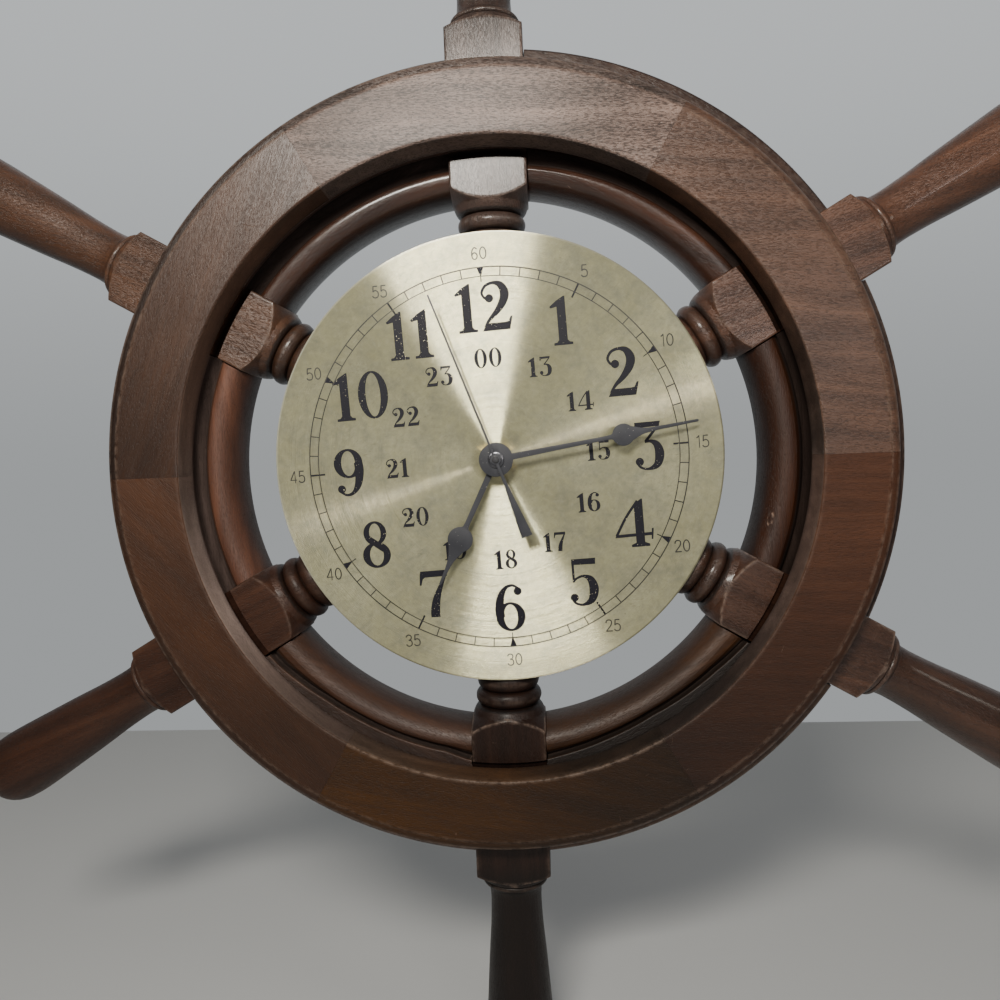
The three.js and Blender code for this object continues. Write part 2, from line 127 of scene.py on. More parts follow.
def groove_faces(ob):
    """Gives the groove under the front ring a darker, duller wood: painted shade in the groove."""
    me = ob.data
    mid = np.zeros(len(me.polygons) * 3)
    me.polygons.foreach_get("center", mid)
    mid = unworld(mid.reshape(-1, 3))
    R = np.hypot(mid[:, 0], mid[:, 1])
    inside = (mid[:, 2] > -5.5) & (mid[:, 2] < -0.4) & (R > 115.2) & (R < 124.0)
    if ob.name.startswith("spoke"):
        k = int(ob.name.split("_")[-1]) - 1
        inside &= np.abs(turn(mid, -60 * k)[:, 0] - SPOKE_OFF[k]) < HALF - 0.2
    me.materials.append(wood_groove)
    me.polygons.foreach_set("material_index", inside.astype(np.int32))


def finish(ob, mat, body, nodes=(), angle=32.0):
    me = ob.data
    me.shade_smooth()
    me.set_sharp_from_angle(angle=math.radians(angle))
    me.materials.clear()
    me.materials.append(mat)
    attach(ob, body)
    if nodes:
        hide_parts(*nodes)
    return ob


def set_vec(me, name, values):
    a = me.attributes.new(name, "FLOAT_VECTOR", "POINT")
    a.data.foreach_set("vector", np.asarray(values, np.float32).ravel())


def set_val(me, name, values):
    a = me.attributes.new(name, "FLOAT", "POINT")
    a.data.foreach_set("value", np.asarray(values, np.float32).ravel())


def coords(ob):
    co = np.zeros(len(ob.data.vertices) * 3)
    ob.data.vertices.foreach_get("co", co)
    return unworld(co.reshape(-1, 3))


def grid_faces(nu, nv, closed_u=True, base=0):
    """Quads of a grid with nu columns and nv rows, vertex = row * nu + column."""
    F = []
    for j in range(nv - 1):
        for i in range(nu if closed_u else nu - 1):
            i2 = (i + 1) % nu
            F.append((base + j * nu + i, base + j * nu + i2, base + (j + 1) * nu + i2, base + (j + 1) * nu + i))
    return F


def lathe_z(profile, n=96, centre=(0.0, 0.0), caps=True):
    """Turns (radius, z) pairs about a z axis, with flat ends."""
    a = np.linspace(0, 2 * np.pi, n, endpoint=False)
    V = [np.stack([centre[0] + r * np.cos(a), centre[1] + r * np.sin(a), np.full(n, z)], 1) for r, z in profile]
    V = np.concatenate(V)
    F = grid_faces(n, len(profile))
    if caps:
        F.append(tuple(range(n))[::-1])
        F.append(tuple(range(n * (len(profile) - 1), n * len(profile))))
    return V, F


def ring_z(profile, n=96, centre=(0.0, 0.0)):
    """Turns a closed (radius, z) outline about a z axis."""
    V, F = lathe_z(profile, n, centre, caps=False)
    m = len(profile)
    for i in range(n):
        i2 = (i + 1) % n
        F.append(((m - 1) * n + i, (m - 1) * n + i2, i2, i))
    return V, F


def box_mesh(x0, x1, y0, y1, z0, z1):
    V = np.array([[x, y, z] for z in (z0, z1) for y in (y0, y1) for x in (x0, x1)], float)
    F = [(0, 2, 3, 1), (4, 5, 7, 6), (0, 1, 5, 4), (2, 6, 7, 3), (0, 4, 6, 2), (1, 3, 7, 5)]
    return V, F


def catmull(points, per=6, closed=False):
    """A smooth curve through points."""
    p = np.asarray(points, float)
    n = len(p)
    out = []
    spans = n if closed else n - 1
    for i in range(spans):
        if closed:
            p0, p1, p2, p3 = p[(i - 1) % n], p[i], p[(i + 1) % n], p[(i + 2) % n]
        else:
            p0, p1, p2, p3 = p[max(i - 1, 0)], p[i], p[i + 1], p[min(i + 2, n - 1)]
        for k in range(per):
            t = k / per
            out.append(0.5 * ((2 * p1) + (p2 - p0) * t + (2 * p0 - 5 * p1 + 4 * p2 - p3) * t * t
                              + (3 * p1 - p0 - 3 * p2 + p3) * t ** 3))
    if not closed:
        out.append(p[-1])
    return np.array(out)


# --------------------------------------------------------------- materials
class Shader:
    """A material with short names for making and linking its nodes."""

    def __init__(self, name):
        self.mat = bpy.data.materials.new(name)
        self.mat.use_nodes = True
        self.nt = self.mat.node_tree
        self.nt.nodes.clear()
        self.out = self.nt.nodes.new("ShaderNodeOutputMaterial")
        self.bsdf = self.nt.nodes.new("ShaderNodeBsdfPrincipled")
        self.nt.links.new(self.bsdf.outputs[0], self.out.inputs[0])

    def put(self, socket, value):
        if isinstance(value, bpy.types.NodeSocket):
            self.nt.links.new(value, socket)
        elif value is not None:
            socket.default_value = value

    def set(self, **kw):
        for k, v in kw.items():
            self.put(self.bsdf.inputs[k.replace("_", " ")], v)

    def attr(self, name, out="Vector"):
        n = self.nt.nodes.new("ShaderNodeAttribute")
        n.attribute_name = name
        return n.outputs[out]

    def pos(self):
        return self.nt.nodes.new("ShaderNodeTexCoord").outputs["Object"]

    def vmath(self, op, a, b=None, scale=None):
        n = self.nt.nodes.new("ShaderNodeVectorMath")
        n.operation = op
        self.put(n.inputs[0], a)
        if b is not None:
            self.put(n.inputs[1], b)
        if scale is not None:
            self.put(n.inputs["Scale"], scale)
        return n.outputs["Value"] if op in ("LENGTH", "DOT_PRODUCT", "DISTANCE") else n.outputs["Vector"]

    def math(self, op, a, b=None, c=None, clamp=False):
        n = self.nt.nodes.new("ShaderNodeMath")
        n.operation = op
        n.use_clamp = clamp
        self.put(n.inputs[0], a)
        if b is not None:
            self.put(n.inputs[1], b)
        if c is not None:
            self.put(n.inputs[2], c)
        return n.outputs[0]

    def noise(self, vec, scale=1.0, detail=3.0, rough=0.5, distort=0.0, out=0):
        n = self.nt.nodes.new("ShaderNodeTexNoise")
        self.put(n.inputs["Vector"], vec)
        self.put(n.inputs["Scale"], scale)
        n.inputs["Detail"].default_value = detail
        n.inputs["Roughness"].default_value = rough
        n.inputs["Distortion"].default_value = distort
        return n.outputs[out]

    def voronoi(self, vec, scale=1.0, feature="F1", out="Distance", rand=1.0):
        n = self.nt.nodes.new("ShaderNodeTexVoronoi")
        n.feature = feature
        self.put(n.inputs["Vector"], vec)
        self.put(n.inputs["Scale"], scale)
        n.inputs["Randomness"].default_value = rand
        return n.outputs[out]

    def ramp(self, fac, stops, out=0, interp="LINEAR"):
        n = self.nt.nodes.new("ShaderNodeValToRGB")
        cr = n.color_ramp
        cr.interpolation = interp
        while len(cr.elements) < len(stops):
            cr.elements.new(0.5)
        for e, (p, c) in zip(cr.elements, stops):
            e.position = p
            e.color = (c, c, c, 1.0) if isinstance(c, (int, float)) else (*c, 1.0)
        self.put(n.inputs[0], fac)
        return n.outputs[out]

    def mix(self, fac, a, b, mode="MIX"):
        n = self.nt.nodes.new("ShaderNodeMix")
        n.data_type = "RGBA"
        n.blend_type = mode
        self.put(n.inputs[0], fac)
        for s, v in ((n.inputs[6], a), (n.inputs[7], b)):
            if isinstance(v, tuple) and len(v) == 3:
                v = (*v, 1.0)
            elif isinstance(v, (int, float)):
                v = (v, v, v, 1.0)
            self.put(s, v)
        return n.outputs[2]

    def maprange(self, v, a, b, c, d, smooth=False):
        n = self.nt.nodes.new("ShaderNodeMapRange")
        if smooth:
            n.interpolation_type = "SMOOTHSTEP"
        self.put(n.inputs["Value"], v)
        for k, x in (("From Min", a), ("From Max", b), ("To Min", c), ("To Max", d)):
            self.put(n.inputs[k], x)
        return n.outputs[0]

    def sep(self, v):
        n = self.nt.nodes.new("ShaderNodeSeparateXYZ")
        self.put(n.inputs[0], v)
        return n.outputs

    def comb(self, x, y, z):
        n = self.nt.nodes.new("ShaderNodeCombineXYZ")
        for s, v in zip(n.inputs, (x, y, z)):
            self.put(s, v)
        return n.outputs[0]

    def hsv(self, colour, hue=0.5, sat=1.0, val=1.0):
        n = self.nt.nodes.new("ShaderNodeHueSaturation")
        self.put(n.inputs["Hue"], hue)
        self.put(n.inputs["Saturation"], sat)
        self.put(n.inputs["Value"], val)
        self.put(n.inputs["Color"], colour)
        return n.outputs[0]

    def bump(self, height, distance, strength=1.0, normal=None):
        n = self.nt.nodes.new("ShaderNodeBump")
        n.inputs["Strength"].default_value = strength
        n.inputs["Distance"].default_value = distance
        self.put(n.inputs["Height"], height)
        if normal is not None:
            self.put(n.inputs["Normal"], normal)
        return n.outputs[0]


def wood(name, dark, mid, light, rough=0.42, coat=0.25, coat_rough=0.22, pore=1.0, spec=0.5):
    """Lacquered open-grained wood. The mesh carries its grain directions in
    millimetres, how worn each edge is, and a tone with painted light and shade."""
    s = Shader(name)
    g = s.attr("grain")
    wear = s.attr("wear", "Fac")
    tone = s.sep(s.attr("tone"))
    # slow bending of the fibres
    bend = s.noise(s.vmath("MULTIPLY", g, (0.010, 0.028, 0.028)), 1.0, 2.0, 0.5, out=1)
    bend = s.vmath("MULTIPLY", s.vmath("SUBTRACT", bend, (0.5, 0.5, 0.5)), (8.0, 13.0, 13.0))
    gw = s.vmath("ADD", g, bend)
    rings = s.noise(s.vmath("MULTIPLY", gw, (0.006, 0.17, 0.11)), 1.0, 4.0, 0.62)
    streak = s.noise(s.vmath("MULTIPLY", gw, (0.035, 1.15, 1.15)), 1.0, 5.0, 0.68)
    fibre = s.noise(s.vmath("MULTIPLY", gw, (0.16, 4.4, 4.4)), 1.0, 3.0, 0.6)
    blotch = s.noise(s.vmath("MULTIPLY", g, (0.020, 0.035, 0.035)), 1.0, 3.0, 0.55)
    # pores: short dark dashes, gathered in the softer bands
    opened = s.attr("open", "Fac")
    dash = s.noise(s.vmath("MULTIPLY", gw, (0.50, 3.0, 3.0)), 1.0, 2.5, 0.55)
    gather = s.maprange(rings, 0.35, 0.65, 0.035, -0.02)
    pores = s.math("MULTIPLY", s.maprange(s.math("ADD", dash, gather), 0.53, 0.68, 0.0, 1.0, smooth=True), opened)
    band = s.math("ADD", s.math("MULTIPLY", s.math("SUBTRACT", rings, 0.5), s.maprange(opened, 0.3, 1.0, 0.30, 1.0)), 0.5)
    body = s.ramp(band, [(0.30, dark), (0.50, mid), (0.72, light)])
    body = s.mix(s.maprange(streak, 0.33, 0.70, 0.0, 0.62), body, s.mix(0.5, dark, mid), "MIX")
    body = s.mix(s.maprange(fibre, 0.35, 0.70, 0.0, 0.35), body, light)
    body = s.mix(s.maprange(blotch, 0.35, 0.70, 0.0, 0.45), body, s.mix(0.35, dark, (0.02, 0.010, 0.006)))
    body = s.hsv(body, s.math("ADD", tone[1], 0.5), tone[2], tone[0])
    body = s.mix(s.math("MULTIPLY", pores, 0.50 * pore), body, (0.012, 0.006, 0.004))
    # worn arrises
    rub = s.noise(s.vmath("MULTIPLY", g, (0.35, 0.35, 0.35)), 1.0, 4.0, 0.65)
    worn = s.math("MULTIPLY", wear, s.maprange(rub, 0.36, 0.60, 0.0, 1.0), clamp=True)
    body = s.mix(s.math("MULTIPLY", worn, 0.75), body, tuple(0.45 * a + 0.55 * b for a, b in zip(light, (0.40, 0.31, 0.25))))
    # a few short scratches and dents, lighter than the wood
    wob = s.vmath("MULTIPLY", s.vmath("SUBTRACT", s.noise(g, 0.06, 2.0, 0.5, out=1), (0.5, 0.5, 0.5)), (9.0, 9.0, 9.0))
    cell = s.voronoi(s.vmath("MULTIPLY", s.vmath("ADD", g, wob), (0.060, 0.045, 0.05)), 1.0, "DISTANCE_TO_EDGE")
    line = s.maprange(cell, 0.0, 0.0045, 1.0, 0.0)
    some = s.maprange(s.noise(g, 0.035, 2.0, 0.5), 0.62, 0.68, 0.0, 1.0)
    short = s.maprange(s.noise(g, 0.22, 1.0, 0.5), 0.56, 0.62, 0.0, 1.0)
    scratch = s.math("MULTIPLY", s.math("MULTIPLY", line, some), short, clamp=True)
    speck = s.maprange(s.voronoi(g, 0.075), 0.0, 0.055, 1.0, 0.0)
    speck = s.math("MULTIPLY", s.math("POWER", speck, 2.0), s.maprange(s.noise(g, 0.4, 2.0, 0.5), 0.52, 0.60, 0.0, 1.0))
    marks = s.math("MAXIMUM", scratch, s.math("MULTIPLY", speck, 0.8))
    body = s.mix(s.math("MULTIPLY", marks, 0.7), body, (0.34, 0.22, 0.16))
    r = s.math("ADD", s.maprange(streak, 0.3, 0.7, rough - 0.06, rough + 0.10),
               s.math("ADD", s.math("MULTIPLY", pores, 0.18), s.math("MULTIPLY", s.math("MAXIMUM", worn, marks), 0.12)))
    h = s.math("ADD", s.math("MULTIPLY", s.math("MULTIPLY", dash, opened), -1.5 * pore), s.math("MULTIPLY", s.math("ADD", streak, fibre), 0.42))
    h = s.math("SUBTRACT", h, s.math("MULTIPLY", pores, 0.6 * pore))
    h = s.math("SUBTRACT", h, s.math("MULTIPLY", marks, 1.2))
    h = s.math("MULTIPLY", h, s.maprange(opened, 1.0, 1.5, 1.0, 1.7))
    normal = s.bump(h, 0.00016, 0.85)
    wave = s.noise(s.vmath("MULTIPLY", g, (0.05, 0.12, 0.12)), 1.0, 2.0, 0.5)
    normal = s.bump(wave, 0.0009, 0.35, normal)
    s.set(Base_Color=body, Roughness=r, Normal=normal, Specular_IOR_Level=spec,
          Coat_Weight=coat, Coat_Roughness=coat_rough, Coat_IOR=1.5)
    return s.mat


W_DARK, W_MID, W_LIGHT = (0.027, 0.0096, 0.0042), (0.084, 0.0325, 0.0140), (0.165, 0.070, 0.033)
wood_front = wood("wood_front", W_DARK, W_MID, W_LIGHT, rough=0.40, coat=0.22, coat_rough=0.30, pore=1.0)
wood_front_dull = wood("wood_front_dull", W_DARK, W_MID, W_LIGHT, rough=0.52, coat=0.08, coat_rough=0.36, pore=0.9, spec=0.34)
wood_back = wood("wood_back", (0.018, 0.0062, 0.0032), (0.060, 0.0205, 0.0098), (0.115, 0.043, 0.021),
                 rough=0.34, coat=0.70, coat_rough=0.12, pore=0.5)
wood_back_satin = wood("wood_back_satin", (0.018, 0.0062, 0.0032), (0.060, 0.0205, 0.0098), (0.115, 0.043, 0.021),
                       rough=0.50, coat=0.10, coat_rough=0.38, pore=0.5)
wood_spoke = wood("wood_spoke", (0.020, 0.0074, 0.0040), (0.062, 0.0245, 0.0125), (0.125, 0.055, 0.030),
                  rough=0.36, coat=0.35, coat_rough=0.18, pore=0.75)
wood_spoke_dull = wood("wood_spoke_dull", (0.020, 0.0074, 0.0040), (0.062, 0.0245, 0.0125), (0.125, 0.055, 0.030),
                       rough=0.46, coat=0.12, coat_rough=0.28, pore=0.75, spec=0.30)
# a darker, dull copy of the wood, for painted shade in the groove under the front ring
wood_groove = wood("wood_groove", (0.012, 0.0048, 0.0028), (0.036, 0.0140, 0.0075), (0.070, 0.029, 0.016),
                   rough=0.85, coat=0.0, coat_rough=0.3, pore=0.5, spec=0.12)
wood_hub = wood("wood_hub", (0.016, 0.0068, 0.0038), (0.048, 0.021, 0.011), (0.090, 0.042, 0.023),
                rough=0.55, coat=0.05, coat_rough=0.4, pore=0.8)


def brass_dial():
    s = Shader("brass_dial")
    p = s.vmath("SUBTRACT", s.pos(), tuple(world(CLOCK[None])[0]))
    mm = s.vmath("SCALE", p, scale=1000.0)
    x, y, z = s.sep(mm)
    r = s.vmath("LENGTH", s.comb(x, 0.0, z))
    inv = s.math("DIVIDE", 1.0, s.math("MAXIMUM", r, 0.5))
    cx, cz = s.math("MULTIPLY", x, inv), s.math("MULTIPLY", z, inv)
    ringvec = s.comb(s.math("MULTIPLY", r, 9.0), s.math("MULTIPLY", cx, 2.2), s.math("MULTIPLY", cz, 2.2))
    lines = s.noise(ringvec, 1.0, 4.0, 0.7)
    ringvec2 = s.comb(s.math("MULTIPLY", r, 2.4), s.math("MULTIPLY", cx, 1.2), s.math("MULTIPLY", cz, 1.2))
    lines2 = s.noise(ringvec2, 1.0, 3.0, 0.6)
    flat = s.comb(x, z, 0.0)
    cloud = s.noise(flat, 0.045, 5.0, 0.62, 0.6)
    cloud2 = s.noise(s.vmath("ADD", flat, (40.0, 17.0, 3.0)), 0.13, 4.0, 0.65, 0.4)
    grit = s.noise(flat, 1.6, 3.0, 0.6)
    tint = s.ramp(cloud, [(0.30, (0.545, 0.516, 0.305)), (0.52, (0.64, 0.613, 0.375)), (0.72, (0.715, 0.688, 0.445))])
    tint = s.mix(s.maprange(cloud2, 0.42, 0.68, 0.0, 0.62), tint, (0.405, 0.400, 0.300))
    tint = s.mix(s.maprange(lines, 0.35, 0.7, 0.0, 0.16), tint, (0.45, 0.41, 0.27))
    # fine mottling, and short brushed hairs across the turning
    mottle = s.noise(s.vmath("ADD", flat, (5.0, 61.0, 2.0)), 0.42, 4.0, 0.7, 0.3)
    tint = s.mix(s.maprange(mottle, 0.50, 0.68, 0.0, 0.34), tint, (0.36, 0.35, 0.25))
    tint = s.mix(s.maprange(mottle, 0.48, 0.32, 0.0, 0.26), tint, (0.80, 0.77, 0.54))
    hair = s.noise(s.vmath("ADD", s.comb(s.math("MULTIPLY", s.math("ADD", x, z), 0.22), s.math("MULTIPLY", s.math("SUBTRACT", x, z), 2.4), 0.0),
                           (3.0, 8.0, 1.0)), 1.0, 3.0, 0.7, 0.5)
    tint = s.mix(s.math("MULTIPLY", s.maprange(hair, 0.54, 0.66, 0.0, 0.40), s.maprange(cloud, 0.40, 0.60, 0.2, 1.0)), tint, (0.34, 0.32, 0.22))
    # the cut edge: a painted highlight towards the upper left, painted shade towards the lower right
    rim = s.maprange(r, 88.25, 88.55, 0.0, 1.0)
    painted_edge_light = s.maprange(s.math("SUBTRACT", cz, cx), -0.5, 1.1, 0.0, 1.0)
    tint = s.mix(s.math("MULTIPLY", rim, 0.75), tint, s.mix(painted_edge_light, (0.20, 0.18, 0.12), (0.90, 0.88, 0.68)))
    # dark specks and small scrapes of tarnish
    speck = s.maprange(s.noise(s.vmath("ADD", flat, (9.0, 3.0, 1.0)), 0.9, 2.0, 0.5), 0.70, 0.76, 0.0, 1.0)
    scrape = s.noise(s.vmath("MULTIPLY", flat, (0.30, 1.3, 1.0)), 1.0, 3.0, 0.6, 1.2)
    scrape = s.math("MULTIPLY", s.maprange(scrape, 0.60, 0.68, 0.0, 1.0), s.maprange(cloud, 0.50, 0.62, 0.0, 1.0))
    tint = s.mix(s.math("MULTIPLY", speck, 0.55), tint, (0.16, 0.13, 0.08))
    tint = s.mix(s.math("MULTIPLY", scrape, 0.35), tint, (0.24, 0.20, 0.12))
    rough = s.maprange(cloud2, 0.3, 0.7, 0.20, 0.24)
    # the turning grooves tilt the surface only towards and away from the centre
    white = s.nt.nodes.new("ShaderNodeTexWhiteNoise")
    white.noise_dimensions = "1D"
    s.put(white.inputs["W"], s.math("FLOOR", s.math("MULTIPLY", r, 260.0)))
    tilt = s.math("MULTIPLY", s.math("SUBTRACT", white.outputs["Value"], 0.5), 1.0)
    tilt = s.math("ADD", tilt, s.math("MULTIPLY", s.math("SUBTRACT", lines, 0.5), 0.12))
    tilt = s.math("ADD", tilt, s.math("MULTIPLY", s.math("SUBTRACT", lines2, 0.5), 0.05))
    geo = s.nt.nodes.new("ShaderNodeNewGeometry").outputs["Normal"]
    front = s.math("MAXIMUM", s.math("MULTIPLY", s.sep(geo)[1], -1.0), 0.0)
    tilted = s.vmath("ADD", geo, s.vmath("SCALE", s.comb(cx, 0.0, cz), scale=s.math("MULTIPLY", tilt, front)))
    normal = s.bump(s.math("ADD", s.math("MULTIPLY", grit, 0.5), cloud2), 0.00003, 0.25, s.vmath("NORMALIZE", tilted))
    t = s.nt.nodes.new("ShaderNodeTangent")
    t.direction_type = "RADIAL"
    t.axis = "Y"
    s.set(Base_Color=tint, Metallic=s.maprange(speck, 0.0, 1.0, 0.62, 0.25), Roughness=rough, Normal=normal, Tangent=t.outputs[0], Anisotropic=1.0,
          Anisotropic_Rotation=0.25)
    return s.mat


def printed_ink():
    s = Shader("dial_ink")
    mm = s.vmath("SCALE", s.pos(), scale=1000.0)
    chip = s.noise(mm, 1.25, 3.0, 0.6)
    zone = s.noise(mm, 0.06, 2.0, 0.5)
    chips = s.maprange(s.math("ADD", chip, s.maprange(zone, 0.3, 0.7, -0.045, 0.045)), 0.672, 0.690, 0.0, 1.0)
    dust = s.noise(mm, 3.0, 3.0, 0.6)
    ink = s.mix(s.maprange(dust, 0.3, 0.75, 0.0, 1.0), (0.007, 0.007, 0.011), (0.019, 0.018, 0.027))
    s.set(Base_Color=s.mix(chips, ink, (0.55, 0.51, 0.36)), Metallic=s.math("MULTIPLY", chips, 0.7),
          Roughness=s.maprange(dust, 0.3, 0.7, 0.42, 0.62), Normal=s.bump(s.math("MULTIPLY", chips, -1.0), 0.00003, 0.8),
          Specular_IOR_Level=0.22)
    return s.mat


def thin_ink():
    s = Shader("dial_line_ink")
    mm = s.vmath("SCALE", s.pos(), scale=1000.0)
    fade = s.noise(mm, 0.05, 3.0, 0.6)
    fine = s.noise(mm, 1.4, 3.0, 0.6)
    ink = s.mix(s.maprange(s.math("ADD", fade, s.math("MULTIPLY", fine, 0.5)), 0.62, 0.95, 0.0, 0.45),
                (0.011, 0.010, 0.012), (0.11, 0.10, 0.08))
    s.set(Base_Color=ink, Roughness=s.maprange(fine, 0.3, 0.7, 0.45, 0.65), Metallic=0.1,
          Normal=s.bump(fine, 0.00002, 0.5))
    return s.mat


def black_paint():
    s = Shader("black_hands")
    mm = s.vmath("SCALE", s.pos(), scale=1000.0)
    fine = s.noise(mm, 2.2, 4.0, 0.6)
    big = s.noise(mm, 0.12, 3.0, 0.5)
    chip = s.maprange(s.noise(s.vmath("ADD", mm, (5.0, 2.0, 8.0)), 1.1, 3.0, 0.6), 0.70, 0.73, 0.0, 1.0)
    c = s.mix(s.maprange(big, 0.3, 0.7, 0.0, 1.0), (0.026, 0.027, 0.034), (0.042, 0.043, 0.052))
    c = s.mix(chip, c, (0.40, 0.39, 0.36))
    s.set(Base_Color=c, Roughness=s.maprange(fine, 0.3, 0.7, 0.46, 0.60), Normal=s.bump(fine, 0.00003, 0.6),
          Specular_IOR_Level=0.5)
    return s.mat


def metal(name, a, b, rough, aniso=0.0, scale=0.5, speck=(0.2, 0.17, 0.12)):
    s = Shader(name)
    mm = s.vmath("SCALE", s.pos(), scale=1000.0)
    big = s.noise(mm, scale * 0.35, 4.0, 0.6)
    fine = s.noise(s.vmath("MULTIPLY", mm, (1.0, 1.0, 6.0)), scale * 4, 3.0, 0.6)
    tarnish = s.maprange(s.noise(mm, scale, 4.0, 0.65), 0.55, 0.75, 0.0, 0.6)
    c = s.mix(s.maprange(big, 0.3, 0.7, 0.0, 1.0), a, b)
    c = s.mix(tarnish, c, speck)
    s.set(Base_Color=c, Metallic=1.0, Roughness=s.math("ADD", s.maprange(fine, 0.3, 0.7, rough - 0.06, rough + 0.08),
          s.math("MULTIPLY", tarnish, 0.2)), Normal=s.bump(fine, 0.00002, 0.6), Anisotropic=aniso)
    return s.mat


def plastic(name, a, b, rough, grain=0.00002, scale=2.4, spec=0.5):
    s = Shader(name)
    mm = s.vmath("SCALE", s.pos(), scale=1000.0)
    big = s.noise(mm, 0.06, 3.0, 0.5)
    fine = s.noise(mm, scale, 4.0, 0.6)
    scuff = s.maprange(s.noise(s.vmath("MULTIPLY", mm, (0.5, 0.5, 2.5)), 1.0, 4.0, 0.7, 1.0), 0.62, 0.70, 0.0, 0.5)
    c = s.mix(s.maprange(big, 0.3, 0.7, 0.0, 1.0), a, b)
    c = s.mix(s.math("MULTIPLY", scuff, 0.35), c, tuple(min(1.0, 1.6 * v + 0.02) for v in b))
    s.set(Base_Color=c, Roughness=s.math("ADD", s.maprange(fine, 0.3, 0.7, rough - 0.05, rough + 0.08),
          s.math("MULTIPLY", scuff, 0.15)), Normal=s.bump(fine, grain, 0.8), Specular_IOR_Level=spec)
    return s.mat


def copper_coil():
    s = Shader("copper_wire")
    mm = s.vmath("SCALE", s.pos(), scale=1000.0)
    x, y, z = s.sep(mm)
    turns = s.math("SINE", s.math("MULTIPLY", x, 2 * math.pi / 0.42))
    big = s.noise(mm, 0.4, 3.0, 0.6)
    c = s.mix(s.maprange(big, 0.3, 0.7, 0.0, 1.0), (0.42, 0.13, 0.05), (0.62, 0.24, 0.10))
    # painted shade in the creases between the wire's turns
    c = s.mix(s.maprange(turns, -1.0, -0.4, 0.8, 0.0), c, (0.06, 0.02, 0.01))
    s.set(Base_Color=c, Metallic=0.9, Roughness=s.maprange(big, 0.3, 0.7, 0.28, 0.40), Normal=s.bump(turns, 0.00008, 0.8))
    return s.mat


def board():
    s = Shader("green_board")
    mm = s.vmath("SCALE", s.pos(), scale=1000.0)
    x, y, z = s.sep(mm)
    weave = s.math("MULTIPLY", s.math("SINE", s.math("MULTIPLY", x, 9.0)), s.math("SINE", s.math("MULTIPLY", z, 9.0)))
    cell = s.voronoi(s.vmath("MULTIPLY", mm, (0.35, 0.0, 0.35)), 1.0, "DISTANCE_TO_EDGE")
    trace = s.maprange(cell, 0.03, 0.045, 1.0, 0.0)
    c = s.mix(s.maprange(s.noise(mm, 0.3, 3.0, 0.5), 0.3, 0.7, 0.0, 1.0), (0.018, 0.085, 0.030), (0.026, 0.12, 0.042))
    c = s.mix(s.math("MULTIPLY", trace, 0.6), c, (0.07, 0.20, 0.07))
    s.set(Base_Color=c, Roughness=s.maprange(weave, -1.0, 1.0, 0.36, 0.46), Normal=s.bump(s.math("ADD", s.math("MULTIPLY", weave, 0.3), trace), 0.00004, 0.7))
    return s.mat


MAT = {
    "brass_dial": brass_dial(),
    "black_hands": black_paint(),
    "brass_hardware": metal("brass_hardware", (0.62, 0.46, 0.20), (0.78, 0.62, 0.32), 0.34),
    "steel_screws": metal("steel_screws", (0.55, 0.48, 0.30), (0.66, 0.60, 0.42), 0.36, speck=(0.25, 0.18, 0.10)),
    "steel_laminate": metal("steel_laminate", (0.50, 0.50, 0.51), (0.62, 0.62, 0.63), 0.34, speck=(0.30, 0.28, 0.26)),
    "magnet": metal("magnet", (0.20, 0.20, 0.21), (0.28, 0.28, 0.29), 0.48, speck=(0.12, 0.12, 0.12)),
    "copper_wire": copper_coil(),
    "black_rubber": plastic("black_rubber", (0.010, 0.010, 0.011), (0.020, 0.020, 0.020), 0.78, 0.00006, 1.2, 0.3),
    "black_plastic": plastic("black_plastic", (0.016, 0.016, 0.018), (0.026, 0.026, 0.029), 0.50, 0.00005, 1.6),
    "white_plastic": plastic("white_plastic", (0.74, 0.70, 0.60), (0.80, 0.77, 0.68), 0.42, 0.00002, 2.0),
    "green_board": board(),
    "battery_sleeve": plastic("battery_sleeve", (0.20, 0.21, 0.23), (0.26, 0.27, 0.29), 0.26, 0.00001, 3.0),
}
INK, LINE_INK = printed_ink(), thin_ink()

# every CAD part gets its slot's material, whether it stays shown or not
slot_of = {row["node"]: row["material_slot"] for row in frame["record"]["subparts"]}
wood_slot = {"wood_front_ring": wood_front, "wood_back_ring": wood_back, "wood_spokes": wood_spoke, "wood_hub": wood_hub}
for node, ob in frame["nodes"].items():
    mat = MAT.get(slot_of[node]) or wood_slot[slot_of[node]]
    ob.data.materials.clear()
    ob.data.materials.append(mat)
    ob.data.shade_smooth()
    ob.data.set_sharp_from_angle(angle=math.radians(28))


# ---------------------------------------------------- wood: grain, wear and painted shading
def dress(ob, deg, axis, tone, wear, origin=(0.0, 0.0, 0.0), slope=0.0, lean=0.0, figure=1.0, shade=None):
    """Writes the attributes the wood shader reads. deg turns the piece back to
    upright; axis says which upright direction the fibres run in; slope makes
    the board lighter towards its clockwise end, a painted shading; lean turns
    the fibres, in degrees anticlockwise; figure is how open the grain is; the
    last argument, a function, paints light and shade into the tone and sets
    how strong in colour it is."""
    co = coords(ob)
    up = turn(co, -deg) - np.asarray(origin)
    off = rng.uniform(-400, 400, 3)
    g = turn(up, lean)
    if axis != "x":
        g = g[:, [1, 0, 2]]
    tilt = rng.uniform(-0.02, 0.02, 2)
    g = np.stack([g[:, 0], g[:, 1] + tilt[0] * g[:, 0], g[:, 2] + tilt[1] * g[:, 0]], 1) + off
    set_vec(ob.data, "grain", g)
    board = np.tile(np.asarray(tone, float), (len(co), 1))
    board[:, 0] *= np.clip(1 + slope * up[:, 0] / 75, 0.3, 2.0)
    if shade is not None:
        value, colourful = shade(up)
        board[:, 0] *= value
        board[:, 2] *= colourful
    set_vec(ob.data, "tone", board)
    set_val(ob.data, "wear", np.clip(wear(up), 0, 1))
    set_val(ob.data, "open", np.full(len(co), figure))


